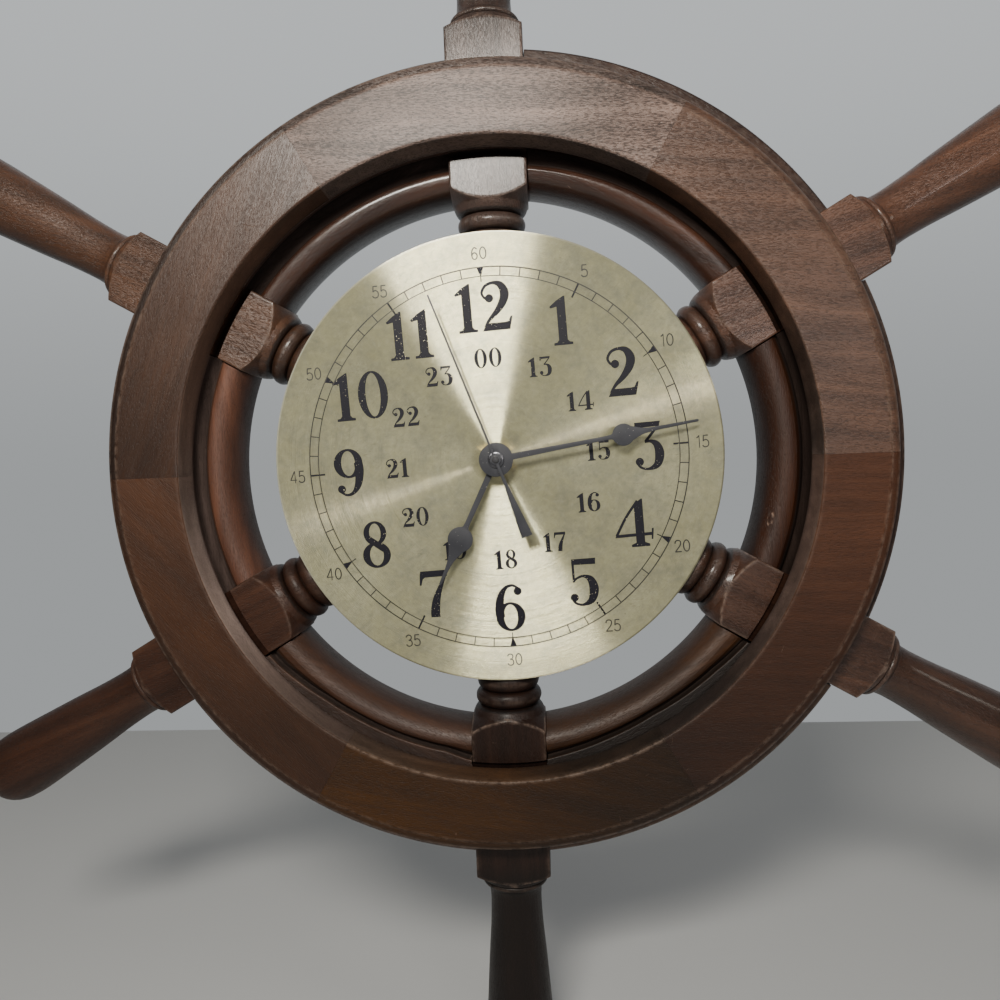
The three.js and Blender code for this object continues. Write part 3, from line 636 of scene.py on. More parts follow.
# ------------------------------------------------------------------ spokes
def arc(cx, cy, rx, ry, a0, a1, n):
    t = np.radians(np.linspace(a0, a1, n))
    return [(cx + rx * math.cos(v), cy + ry * math.sin(v)) for v in t]


def bead(c, w, base, peak, n=11):
    return [(x, y) for x, y in arc(c, base, w, peak - base, 180, 0, n)]


# (distance from the wheel's centre, radius)
inner_turning = (
    [(50.5, 6.6), (50.9, 7.0), (70.3, 7.0), (70.3, 11.7), (70.8, 12.2), (74.4, 12.2), (74.9, 11.9)]
    + [tuple(p) for p in catmull([(75.4, 11.3), (77.0, 9.4), (79.5, 8.8), (82.5, 9.1), (85.3, 10.2)], 5)]
    + [(85.8, 10.2)] + bead(89.4, 3.5, 10.6, 12.9, 15) + [(93.05, 10.7)]
    + bead(96.35, 3.15, 11.1, 13.7, 15) + [(99.62, 11.6), (99.8, 12.6), (100.1, 13.2), (100.5, 13.6), (101.0, 14.0)])
def cone(r, R):
    """How far along the spoke the turned shoulder has reached at radius r."""
    return R - math.sqrt(R * R - (r * r - HALF * HALF))


shoulder_in = [(101.0, 14.0), (101.8, 14.4), (102.6, 14.75), (103.2, 14.95)] + [
    (103.6 + cone(r, 26.6), r) for r in np.linspace(HALF + 0.01, 21.9, 14)]
shoulder_out = [(171.7 - cone(r, 34.0), r) for r in np.linspace(21.9, HALF + 0.01, 12)] + [(172.4, 14.9), (173.3, 14.6)]
outer_turning = (
    [(173.3, 14.6), (173.55, 13.6), (173.75, 13.2)] + bead(175.0, 1.15, 13.0, 14.0, 9)
    + [(176.35, 12.9), (176.9, 12.1)]
    + [tuple(p) for p in catmull([(177.6, 11.6), (179.2, 11.15), (181.5, 10.85), (186.0, 10.75), (196.0, 11.2), (209.0, 12.3),
                                  (226.0, 13.5), (238.0, 14.3), (246.0, 14.5), (251.5, 13.9), (255.6, 12.0),
                                  (258.3, 8.8), (259.6, 5.0), (259.95, 1.6)], 6)])
sin_R, sin_r = np.array(shoulder_in).T
sout_R, sout_r = np.array(shoulder_out).T


def square_rim(h, r=0.75):
    """Columns of the square stock, anticlockwise, with softened corners."""
    e = h - r
    side = [-e, -e + 0.5, -e + 1.5, -e + 3.2] + list(np.linspace(-e + 5.4, e - 5.4, 7)) + [e - 3.2, e - 1.5, e - 0.5, e]
    pts = []
    for q in range(4):
        c, s = round(math.cos(q * math.pi / 2)), round(math.sin(q * math.pi / 2))
        local = [(h, t) for t in side]
        local += [(e + r * math.cos(a), e + r * math.sin(a)) for a in np.radians([22.5, 45, 67.5])]
        pts += [(x * c - y * s, x * s + y * c) for x, y in local]
    return np.array(pts)


def spoke_mesh():
    rim = square_rim(HALF)
    far = np.hypot(rim[:, 0], rim[:, 1])
    unit = rim / far[:, None]
    R_in = np.interp(far, sin_r, sin_R)
    R_out = np.interp(-far, -sout_r, sout_R)
    rows = []

    def lathe_row(R, r):
        R = np.broadcast_to(R, far.shape)
        r = np.broadcast_to(r, far.shape)
        rows.append(np.stack([unit[:, 0] * r, R, unit[:, 1] * r], 1))

    for R, r in inner_turning:
        lathe_row(R, r)
    last = R_in - 0.30
    for k in range(1, 10):
        R = 101.0 + (last - 101.0) * k / 9
        lathe_row(R, np.interp(R, sin_R, sin_r))
    lathe_row(R_in, far - 0.07)
    for d in (0.35, 1.1):
        lathe_row(R_in + d, far)
    for R in (113.0, 117.0, 126.0, 140.5, 152.0, 160.0):
        lathe_row(R, far)
    for d in (1.1, 0.35):
        lathe_row(R_out - d, far)
    lathe_row(R_out, far - 0.07)
    first = R_out + 0.30
    for k in range(0, 8):
        R = first + (173.3 - first) * k / 8
        lathe_row(R, np.interp(R, sout_R, sout_r))
    for R, r in outer_turning:
        lathe_row(R, r)
    V = np.concatenate(rows)
    n = len(rim)
    F = grid_faces(n, len(rows))
    F.append(tuple(range(n)))
    F.append(tuple(range(n * (len(rows) - 1), n * len(rows)))[::-1])
    return V, F


def spoke_wear(up):
    a, R, d = up[:, 0], up[:, 1], up[:, 2] - AXIS_Z
    rho = np.hypot(a, d)
    e = np.maximum(np.abs(a), np.abs(d))
    block = (R > 100) & (R < 175)
    long_edge = 1 - np.hypot(HALF - np.abs(a), HALF - np.abs(d)) / 1.5
    on_flat = e > HALF - 0.4
    Ri = np.interp(rho, sin_r, sin_R)
    Ro = np.interp(-rho, -sout_r, sout_R)
    arcs = 1 - np.minimum(np.abs(R - Ri), np.abs(R - Ro)) / 0.8
    w = np.where(block & on_flat, np.maximum(np.clip(long_edge, 0, 1) * 0.5, np.clip(arcs, 0, 1) * 0.8), 0.0)
    for c in (96.35, 89.4, 175.0):
        w = np.maximum(w, 0.25 * np.clip(1 - np.abs(R - c) / 1.4, 0, 1))
    return w


GROOVE_IN, GROOVE_OUT, GROOVE_Z = 119.8, 122.45, -4.4
GROOVE_AT = (0.3, -0.9)


def step(x, a, b):
    t = np.clip((x - a) / (b - a), 0, 1)
    return t * t * (3 - 2 * t)


BEADS = [0.80, 0.70, 0.65, 0.80, 0.70, 0.55]


# Painted light and shade on each spoke, written into its tone.
def spoke_shade(k):
    def shade(up):
        a, R, d = up[:, 0], up[:, 1], up[:, 2] - AXIS_Z
        rho = np.hypot(a, d)
        s = np.ones(len(R))
        neck = (R > 99.9) & (R < np.interp(rho, sin_r, sin_R) - 0.15) & (rho > 12.8)
        neck2 = (R < 173.6) & (R > np.interp(-rho, -sout_r, sout_R) + 0.15) & (rho > 12.8)
        # painted shade on the turned shoulders at both ends of the block
        s[neck] = 0.40
        s[neck2] = 0.60
        # painted shade in the grooves beside the beads
        for c, w in ((92.95, 0.5), (99.65, 0.5), (85.9, 0.7), (173.8, 0.5), (176.5, 0.6)):
            s *= 1 - 0.6 * np.clip(1 - np.abs(R - c) / w, 0, 1)
        # painted shade in the groove under the front ring
        groove = (R < 124) & (R > 116) & (np.abs(a) < HALF - 0.05)
        s[groove] *= np.interp(up[groove, 2], [-1.0, 0.6], [0.7 if k in (2, 3, 4) else 0.25, 1.0])
        # the beads darker, by spoke
        s[R < 101] *= BEADS[k]
        # the back evened out to one lighter tone
        s *= 1 + np.clip((-d - 3.0) / 6.0, 0, 1) * (1.20 / SPOKE_TONE[k][0] - 1)
        # painted shade on the top spoke's outer block and on the bottom handle
        if k == 0:
            s[R > 160] *= 0.56
        if k == 3:
            s[R > 160] *= 0.38
        return s, 1.0
    return shade


SPOKE_FIGURE = [1.4, 1.3, 1.3, 1.0, 1.0, 1.2]
SPOKE_WORN = [0.5, 0.5, 1.0, 0.8, 0.35, 0.4]
spokeV, spokeF = spoke_mesh()
SPOKE_LEAN = [1.0, -14.0, 6.0, 2.0, -4.0, 8.0]
# each spoke's tone: lightness, hue shift, strength of colour; the bottom spoke's darkness is partly painted shade
SPOKE_TONE = [(1.10, 0.000, 0.76), (1.45, 0.000, 1.00), (0.85, 0.000, 1.05), (0.30, -0.004, 1.00), (0.62, -0.003, 1.05), (1.08, 0.004, 1.05)]
for k in range(6):
    V = spokeV + np.array([SPOKE_OFF[k], 0, AXIS_Z])
    ob = build(f"spoke_wood_{k + 1}", turn(V, 60 * k), spokeF)
    cV, cF = lathe_z([(4.3, BACK - 2), (4.3, BACK + 3.2)], 40, (0.0, SCREW_R))
    cutters = [build("cutter", turn(cV, 60 * k), cF)]
    bottom = -0.75 if k in (2, 3, 4) else GROOVE_Z
    gV, gF = ring_z([(GROOVE_IN, bottom + 0.5), (GROOVE_IN + 0.5, bottom), (GROOVE_OUT + 0.4, bottom), (GROOVE_OUT + 0.6, 3.0),
                     (GROOVE_IN - 0.15, 3.0), (GROOVE_IN - 0.15, FACE - 0.1)], 180, GROOVE_AT)
    cutters.append(build("cutter", gV, gF))
    if k == 0:
        cutters.append(build("cutter", *box_mesh(-7.3, 7.3, 103.4, 134.3, BACK - 2, BACK + 2.4)))
        cutters.append(build("cutter", *box_mesh(-5.5, 5.5, 110.2, 127.0, BACK - 2, BACK + 9)))
    cut(ob, *cutters)
    dress(ob, 60 * k, "y", SPOKE_TONE[k], lambda up: SPOKE_WORN[k] * spoke_wear(up), (SPOKE_OFF[k], 0, 0), lean=SPOKE_LEAN[k],
          figure=SPOKE_FIGURE[k], shade=spoke_shade(k))
    finish(ob, wood_spoke_dull if k in (3, 4) else wood_spoke, "wheel", [f"spoke_{k + 1}"], angle=24)
    groove_faces(ob)


# ------------------------------------------------------------- front ring
front_profile = (
    [(122.5, 1.25), (122.3, 1.45), (122.4, 2.6), (122.6, 4.0), (122.8, 6.0), (123.0, 9.0)] + arc(123.9, 12.5, 0.9, 0.9, 180, 90, 6)
    + [(124.6, 13.4), (126.5, 13.4), (131.0, 13.4), (137.0, 13.4), (143.0, 13.4), (146.4, 13.4)]
    + arc(147.3, 13.05, 0.35, 0.35, 90, 0, 4) + [(147.75, 12.68), (148.2, 12.56)]
    + arc(148.6, 9.2, 3.4, 3.30, 88, 4, 9) + [(152.0, 8.6), (152.0, 5.0), (152.0, 1.6), (151.65, 1.25)])


def sweep(profile, starts, ends, steps, shift=0.0):
    """Sweeps a closed (radius, z) outline about the wheel's axis, clockwise
    from up, each outline point between its own two angles in degrees."""
    m = len(profile)
    P = np.array(profile)
    V = []
    for j in range(steps + 1):
        t = j / steps
        a = np.radians(np.asarray(starts) * (1 - t) + np.asarray(ends) * t)
        V.append(np.stack([P[:, 0] * np.sin(a), P[:, 0] * np.cos(a) + shift, P[:, 1]], 1))
    V = np.concatenate(V)
    F = grid_faces(m, steps + 1)
    F.append(tuple(range(m)))
    F.append(tuple(range(m * steps, m * (steps + 1)))[::-1])
    return V, F


ARRIS = [0.0, 0.10, 0.15, 0.55, 0.15, 0.0]
STEP = [0.5, 1.0, 1.0, 0.7, 0.7, 0.9]


def front_wear(k):
    def wear(up):
        R, z = np.hypot(up[:, 0], up[:, 1]), up[:, 2]
        w = ARRIS[k] * np.clip(1 - np.hypot(R - 123.5, z - 13.1) / 1.1, 0, 1)
        w = np.maximum(w, STEP[k] * np.clip(1 - np.hypot(R - 147.7, z - 12.9) / 0.9, 0, 1))
        w = np.maximum(w, 0.55 * np.clip(1 - np.hypot(R - 151.0, z - 11.6) / 1.2, 0, 1))
        return w
    return wear


# painted light on the inner wall: how light and how strong in colour it is painted, by degrees round it; the lower
# wall, which faces the light from above, is painted lightest
WALL_PAINTED_LIGHT = [(-180, 2.1), (-168, 1.75), (-152, 1.9), (-144, 3.1), (-136, 4.0), (-128, 4.8), (-120, 8.2), (-112, 8.6), (-104, 4.6), (-96, 3.0),
        (-90.1, 2.8), (-89.9, 4.0), (-80, 4.0), (-72, 3.5), (-64, 3.0), (-56, 2.2), (-48, 2.3), (-40, 1.6), (-30.1, 1.3), (-29.9, 1.1),
        (-16, 0.9), (-8, 1.1), (0, 1.25), (8, 0.9), (16, 0.6), (29.9, 0.55), (30.1, 1.05), (40, 1.1), (48, 1.6), (56, 1.6), (64, 1.1),
        (72, 0.85), (89.9, 0.75), (90.1, 1.9), (104, 2.4), (112, 2.4), (120, 2.0), (128, 1.5), (136, 1.1), (144, 1.0), (152, 1.3),
        (168, 1.15), (176, 1.7), (180, 2.0)]
WALL_COLOUR = [(-180, 0.80), (-152, 0.52), (-120, 0.40), (-96, 0.40), (-80, 0.62), (-60, 0.75), (-30, 0.85), (0, 0.95), (50, 1.0),
               (90, 0.55), (104, 0.52), (140, 0.45), (168, 0.65), (180, 0.80)]


RIM = [(0.40, 0.42, 0.45), (0.85, 0.9, 0.9), (0.8, 0.8, 0.8), (0.8, 0.8, 0.8), (0.75, 0.6, 0.5), (0.5, 0.40, 0.40)]


# Painted light and shade on each front board, written into its tone.
def front_shade(k):
    def shade(up):
        R, z = np.hypot(up[:, 0], up[:, 1]), up[:, 2]
        a = np.degrees(np.arctan2(up[:, 0], up[:, 1])) / 30
        round_it = (a * 30 + 60 * k + 180) % 360 - 180
        level = np.interp(round_it, *zip(*WALL_PAINTED_LIGHT))
        colour = np.interp(round_it, *zip(*WALL_COLOUR))
        # painted shade along the foot of the wall
        level = np.where(z < 3.4, level * np.interp(z, [1.2, 3.4], [0.55, 1.0]), level)
        # the outer step darker, by board
        rim = np.interp(a, [-1, 0, 1], RIM[k])
        wall = (R < 123.4) & (z < 12.9)
        return np.where(wall, level, np.where(R > 148.0, rim, 1.0)), np.where(wall, colour, 1.0)
    return shade




# each board's tone: lightness, hue shift, strength of colour; the top board's lightness is partly a painted sheen and
# the lower boards' darkness partly painted shade; FRONT_SLOPE is a painted shading along each board
FRONT_TONE = [(2.15, 0.000, 0.58), (1.08, 0.000, 0.90), (0.56, -0.004, 1.10), (0.38, 0.010, 1.25), (0.58, 0.000, 1.05), (0.60, 0.000, 0.97)]
FRONT_SLOPE = [0.12, 0.0, -0.6, 0.55, 0.25, 0.20]
FRONT_LEAN = [-3.0, 55.0, -62.0, -12.0, 14.0, 6.0]
FRONT_FIGURE = [1.45, 1.0, 0.55, 0.7, 0.4, 0.5]
for k in range(6):
    lim = 30 - math.degrees(0.02 / 123)
    m = len(front_profile)
    V, F = sweep(front_profile, np.full(m, -lim), np.full(m, lim), 44)
    V = V + np.array([0, 0, rng.uniform(-0.04, 0.04)])
    ob = build(f"front_ring_wood_{k + 1}", turn(V, 60 * k), F)
    dress(ob, 60 * k, "x", FRONT_TONE[k], front_wear(k), slope=FRONT_SLOPE[k], lean=FRONT_LEAN[k], figure=FRONT_FIGURE[k],
          shade=front_shade(k))
    finish(ob, wood_front_dull if k in (2, 3, 4) else wood_front, "wheel", [f"front_ring_segment_{k + 1}"], angle=30)


# -------------------------------------------------------------- back ring
F_FRONT, F_BACK = 0.55, BACK + 0.6
nose_z = (F_FRONT + F_BACK) / 2


def bull_nose(cx, cz, rx, rz, power, a0, a1, n):
    """An arc of a squarish oval, from angle a0 to a1."""
    out = []
    for v in np.radians(np.linspace(a0, a1, n)):
        c, q = math.cos(v), math.sin(v)
        out.append((cx + rx * math.copysign(abs(c) ** (2 / power), c), cz + rz * math.copysign(abs(q) ** (2 / power), q)))
    return out


nose_r = (F_FRONT - F_BACK) / 2
CREST = 113.9


def felloe_profile(outer, fillet):
    """Half-round moulding with its crest at CREST. Outside it there is either a
    groove under the front ring, or a flat fillet above a small quirk."""
    if fillet:
        front = ([(126.0, F_FRONT), (122.0, F_FRONT - 0.05), (119.2, F_FRONT - 0.1)] + arc(118.45, F_FRONT - 0.6, 0.45, 0.5, 80, 170, 5)
                 + [(117.9, -1.2), (117.8, -2.2), (117.5, -2.8), (117.1, -2.9)]
                 + bull_nose(CREST - 0.2, F_FRONT - 6.8, 3.5, 6.6, 2.2, 34, 86, 13))
    else:
        front = ([(126.0, F_FRONT), (123.4, F_FRONT), (123.2, 0.3), (123.0, -1.0), (122.9, -2.6), (122.4, -3.8), (121.6, -4.5), (120.6, -4.7)]
                 + bull_nose(CREST, F_FRONT - 6.6, outer, 6.6, 2.0, 20, 86, 14))
    return (
        front
        + bull_nose(CREST, nose_z, CREST - 106.0, nose_r, 2.15, 90, 180, 26)
        + bull_nose(123.2, nose_z, 17.2, nose_r - 0.12, 2.35, 186, 269, 18)
        + [(124.4, F_BACK + 0.05), (130.0, F_BACK), (145.0, F_BACK), (FELLOE_OUT - 1.0, F_BACK), (FELLOE_OUT - 0.3, F_BACK + 0.3),
           (FELLOE_OUT, F_BACK + 1.0), (FELLOE_OUT, -22.0), (FELLOE_OUT, -15.0), (FELLOE_OUT, -7.0), (FELLOE_OUT, -1.5),
           (FELLOE_OUT - 0.25, -0.7), (FELLOE_OUT - 0.8, 0.1), (FELLOE_OUT - 1.6, F_FRONT), (145.0, F_FRONT), (132.0, F_FRONT)])


# how far out the quirk wanders along the two lower felloes, by degrees
QUIRK = {2: ([-23, -15, 0, 10, 20, 23], [3.0, 1.0, -0.6, 0.2, 1.5, 2.2]),
         3: ([-23, -18, 0, 8, 19, 23], [2.2, 0.1, 0.0, 0.4, 2.7, 2.9])}


# the same for the moulding's outer edge on the upper right felloe
DRIFT = ([-23, 23], [-1.6, 0.9])


def wander(V, table, window):
    """Moves a felloe's edge in and out along a table of degrees."""
    R, z = np.hypot(V[:, 0], V[:, 1]), V[:, 2]
    a = np.degrees(np.arctan2(V[:, 0], V[:, 1]))
    near = np.interp(R, window, [0, 1, 1, 0]) * (z > -5.0)
    d = np.interp(a, *table) * near
    V = V.copy()
    V[:, :2] *= ((R + d) / R)[:, None]
    return V


def felloe_wear(up):
    R, z = np.hypot(up[:, 0], up[:, 1]), up[:, 2]
    return 0.8 * np.clip(1 - np.hypot(R - FELLOE_OUT + 0.5, z + 0.4) / 1.5, 0, 1)


# a lighter line along the quirk's edge: partly wear, partly a painted highlight
def quirk_wear(k):
    def wear(up):
        R, z = np.hypot(up[:, 0], up[:, 1]), up[:, 2]
        a = np.degrees(np.arctan2(up[:, 0], up[:, 1]))
        edge = 118.1 + np.interp(a, *QUIRK[k])
        return np.maximum(felloe_wear(up), (0.40 if k == 3 else 0.2) * np.clip(1 - np.hypot(R - edge, z + 0.4) / 0.9, 0, 1))
    return wear


# painted shade in the groove under the front ring: how dark on each felloe
GROOVE_PAINTED_SHADE = [1.30, 0.90, 0.45, 1.00, 0.85, 1.00]


# Painted shade on each felloe, written into its tone.
def felloe_shade(k):
    def shade(up):
        R, z = np.hypot(up[:, 0], up[:, 1]), up[:, 2]
        # painted shade in the groove under the front ring
        s = np.interp(z, [-2.0, 0.1], [GROOVE_PAINTED_SHADE[k], 1.0])
        # on the two lower felloes, the fillet darker outside the quirk, towards the ring's wall
        if k in QUIRK:
            a = np.degrees(np.arctan2(up[:, 0], up[:, 1]))
            edge = 118.1 + np.interp(a, *QUIRK[k])
            s = 1 - (0.45 if k == 3 else 0.80) * np.clip((R - edge) / 0.9, 0, 1)
        inside = (z > -6) & (R < 123.5) & (R > CREST + 0.5)
        s = np.where(inside, s, 1.0)
        # painted shade on the steep inner side of the moulding
        dim = np.where((z > -20) & (R < 108.2), np.interp(R, [106.0, 108.2], [0.45, 1.0]), 1.0)
        # the outer edge of the two upper felloes darker
        if k in (0, 1):
            dim = np.where((z > -14) & (R > 150), 0.6, dim)
        # the back evened out to one lighter tone
        dim = np.where(z < F_BACK + 1.2, 1.20 / BACK_TONE[k][0], dim)
        # the painted shade in the groove is also less strong in colour
        return s * dim, np.where(inside & (z < -1.0), 0.55, 1.0)
    return shade


# open glue lines at the front of some joints, at each felloe's two ends
GAP = [(0.45, 0.05), (0.45, 0.05), (0.50, 0.05), (0.05, 0.50), (0.05, 0.40), (0.05, 0.05)]
OUTER = [3.9, 6.9, 5.6, 5.6, 5.2, 3.7]
BACK_TONE = [(0.70, 0.000, 1.00), (0.50, 0.000, 1.20), (0.75, 0.012, 1.10), (0.85, 0.006, 0.95), (1.80, 0.000, 0.95), (0.66, 0.000, 1.00)]
for k in range(6):
    section = felloe_profile(OUTER[k], k in QUIRK)
    R = np.array(section)[:, 0]
    open_front = np.interp(np.array(section)[:, 1], [-7.0, -5.0], [0.01, 1.0])
    before = HALF + SPOKE_OFF[k] + GAP[k][0] * open_front - FELLOE_SHIFT[k] / 2
    after = HALF - SPOKE_OFF[(k + 1) % 6] + GAP[k][1] * open_front - FELLOE_SHIFT[k] / 2
    V, F = sweep(section, -30 + np.degrees(np.arcsin(before / R)), 30 - np.degrees(np.arcsin(after / R)), 40,
                 FELLOE_SHIFT[k])
    if k in QUIRK:
        V = wander(V, QUIRK[k], [115.0, 117.0, 119.4, 122.0])
    if k == 0:
        V = wander(V, DRIFT, [114.3, 116.6, 118.2, 121.4])
    ob = build(f"back_ring_wood_{k + 1}", turn(V, 30 + 60 * k), F)
    dress(ob, 30 + 60 * k, "x", BACK_TONE[k], quirk_wear(k) if k in QUIRK else felloe_wear, shade=felloe_shade(k))
    finish(ob, wood_back if k in (0, 5) else wood_back_satin, "wheel", [f"back_ring_segment_{k + 1}"], angle=34)
    groove_faces(ob)


# -------------------------------------------------------------------- hub
hub_profile = ([(4.4, -1.1), (30.0, -1.1), (60.0, -1.1)] + arc(68.2, -2.9, 1.8, 1.8, 90, 0, 6)
               + [(70.0, -10.0), (70.0, -20.0)] + arc(68.2, -26.7, 1.8, 1.8, 0, -90, 6) + [(50.0, -28.5), (4.4, -28.5)])
V, F = ring_z(hub_profile, 144)
hub = build("hub_wood", V + np.array([0, 0, 0]), F)
pocket = build("cutter", *box_mesh(-29 + CLOCK[0], 29 + CLOCK[0], -29 + CLOCK[1], 29 + CLOCK[1], -32.0, -9.6))
bore = build("cutter", *lathe_z([(4.9, -11.0), (4.9, 2.0)], 48, (CLOCK[0], CLOCK[1])))
cut(hub, pocket, bore)
dress(hub, 0, "x", (0.9, 0.0, 0.9), lambda up: 0.7 * np.clip(
    1 - np.hypot(np.hypot(up[:, 0], up[:, 1]) - 69.6, np.abs(np.abs(up[:, 2] + 14.8) - 13.2)) / 1.4, 0, 1))
finish(hub, wood_hub, "wheel", ["hub"], angle=30)


# ------------------------------------------------------------------- dial
dial_profile = ([(4.25, -0.8), (4.25, 0.0), (10.0, 0.0), (25.0, 0.0), (45.0, 0.0), (65.0, 0.0), (80.0, 0.0), (88.7, 0.0)]
                + arc(88.82, -0.18, 0.18, 0.18, 90, 0, 4)[1:] + [(89.0, -0.65), (88.85, -0.8), (60.0, -0.8), (30.0, -0.8)])
V, F = ring_z(dial_profile, 240)
dial = build("dial_plate", V + CLOCK, F)
finish(dial, MAT["brass_dial"], "wheel", ["dial"], angle=30)


# numerals, drawn in a box 1 high
def strip(points, widths, per=7):
    p = catmull(points, per)
    w = catmull(np.stack([widths, widths], 1), per)[:, 0]
    d = np.gradient(p, axis=0)
    n = np.stack([-d[:, 1], d[:, 0]], 1) / np.maximum(np.linalg.norm(d, axis=1), 1e-9)[:, None]
    V = np.concatenate([p + n * w[:, None] / 2, p - n * w[:, None] / 2])
    m = len(p)
    return V, [(i, m + i, m + i + 1, i + 1) for i in range(m - 1)]


def poly(*pts):
    return np.array(pts, float), [tuple(range(len(pts)))]


def oval(cx, cy, rx, ry, ix, iy, n=48, dx=0.0):
    a = np.linspace(0, 2 * np.pi, n, endpoint=False)
    V = np.concatenate([np.stack([cx + rx * np.cos(a), cy + ry * np.sin(a)], 1),
                        np.stack([cx + dx + ix * np.cos(a), cy + iy * np.sin(a)], 1)])
    return V, [(i, (i + 1) % n, n + (i + 1) % n, n + i) for i in range(n)]


def dot(cx, cy, r, n=24):
    a = np.linspace(0, 2 * np.pi, n, endpoint=False)
    return np.stack([cx + r * np.cos(a), cy + r * np.sin(a)], 1), [tuple(range(n))]


def serif_digit(ch, b=1.0):
    """Outlines and width of one bracketed serif figure; b is its weight."""
    T = 0.185 * b
    ball = 0.086 * (0.5 + 0.5 * b)
    if ch == "1":
        x0, x1 = 0.245 - T / 2, 0.245 + T / 2
        return [poly((x0, 0.02), (x1, 0.02), (x1, 1.0), (x1 - 0.03, 1.0), (x0, 0.915)),
                poly((x0, 0.915), (x0, 0.915 - 0.125 * (0.5 + 0.5 * b)), (0.025, 0.765), (0.0, 0.80)),
                poly((0.045, 0), (0.445, 0), (0.445, 0.05), (x1 + 0.04, 0.06), (x1, 0.11), (x0, 0.11), (x0 - 0.04, 0.06), (0.045, 0.05))], 0.46
    if ch == "2":
        top = 0.055 + 0.10 * b
        return [strip([(0.20, 0.63), (0.10, 0.69), (0.06, 0.80), (0.15, 0.93), (0.315, 0.973), (0.46, 0.92), (0.535, 0.76),
                       (0.49, 0.58), (0.35, 0.39), (0.18, 0.23), (0.075, 0.08)],
                      [.05, .05, .055, .06, .07, .14 * b, .19 * b, .17 * b, .12 * b, .07, .05]),
                dot(0.205, 0.665, ball),
                poly((0.02, 0.0), (0.60, 0.0), (0.668, 0.27), (0.628, 0.27), (0.575, top + 0.012), (0.50, top), (0.12, top), (0.05, 0.06))], 0.67
    if ch == "3":
        return [poly((0.07, 1.0), (0.61, 1.0), (0.58, 0.90), (0.135, 0.885), (0.105, 0.79), (0.065, 0.79)),
                strip([(0.575, 0.935), (0.43, 0.765), (0.275, 0.595)], [.05, .055, .06]),
                strip([(0.26, 0.585), (0.39, 0.595), (0.51, 0.51), (0.555, 0.32), (0.49, 0.11), (0.31, 0.027), (0.15, 0.065), (0.075, 0.16)],
                      [.04, .07, .15 * b, .195 * b, .15 * b, .055, .05, .05]),
                dot(0.125, 0.185, ball)], 0.66
    if ch == "4":
        x0 = 0.44
        x1 = x0 + T
        return [poly((x0, 0.03), (x1, 0.03), (x1, 1.0), (x1 - 0.03, 1.0), (x0, 0.90)),
                strip([(x0 + 0.08, 0.965), (0.25, 0.62), (0.03, 0.25)], [.055, .055, .055]),
                poly((0.0, 0.215), (0.80, 0.225), (0.80, 0.29), (0.03, 0.28)),
                poly((0.765, 0.14), (0.80, 0.14), (0.825, 0.37), (0.785, 0.37)),
                poly((x0 - 0.10, 0), (x1 + 0.10, 0), (x1 + 0.10, 0.05), (x1, 0.09), (x0, 0.09), (x0 - 0.10, 0.05))], 0.83
    if ch == "5":
        return [poly((0.11, 1.0), (0.63, 1.0), (0.62, 0.87 + 0.05 * (1 - b)), (0.135, 0.88 + 0.05 * (1 - b))),
                strip([(0.137, 0.96), (0.137, 0.72), (0.137, 0.51)], [.055, .05, .05]),
                strip([(0.125, 0.53), (0.22, 0.60), (0.36, 0.63), (0.50, 0.545), (0.555, 0.34), (0.49, 0.12), (0.31, 0.027), (0.15, 0.065), (0.08, 0.16)],
                      [.045, .05, .06, .15 * b, .20 * b, .15 * b, .055, .05, .05]),
                dot(0.125, 0.185, ball)], 0.66
    if ch in "69":
        g = [oval(0.335, 0.31, 0.315, 0.31, 0.315 - 0.165 * b, 0.262),
             strip([(0.115, 0.30), (0.105, 0.50), (0.155, 0.76), (0.27, 0.93), (0.42, 0.974), (0.545, 0.90)],
                   [.19 * b, .19 * b, .15 * b, .08, .052, .05]),
             dot(0.525, 0.845, ball)]
        if ch == "9":
            g = [(np.array([0.67, 1.0]) - v, f) for v, f in g]
        return g, 0.67
    if ch == "7":
        return [poly((0.02, 0.70), (0.06, 0.70), (0.10, 0.83), (0.15, 0.865 + 0.05 * (1 - b)), (0.63, 0.865 + 0.05 * (1 - b)), (0.63, 1.0), (0.06, 1.0), (0.04, 0.93)),
                strip([(0.605, 0.92), (0.47, 0.64), (0.37, 0.40), (0.32, 0.18), (0.31, 0.0)], [.05, .10 * b, .16 * b, .195 * b, .20 * b])], 0.66
    if ch == "8":
        return [oval(0.33, 0.745, 0.25, 0.255, 0.25 - 0.125 * b, 0.205), oval(0.33, 0.275, 0.305, 0.275, 0.305 - 0.155 * b, 0.222),
                strip([(0.17, 0.66), (0.33, 0.52), (0.50, 0.37)], [.10 * b, .13 * b, .10 * b])], 0.66
    return [oval(0.335, 0.5, 0.325, 0.5, 0.325 - 0.165 * b, 0.455)], 0.67


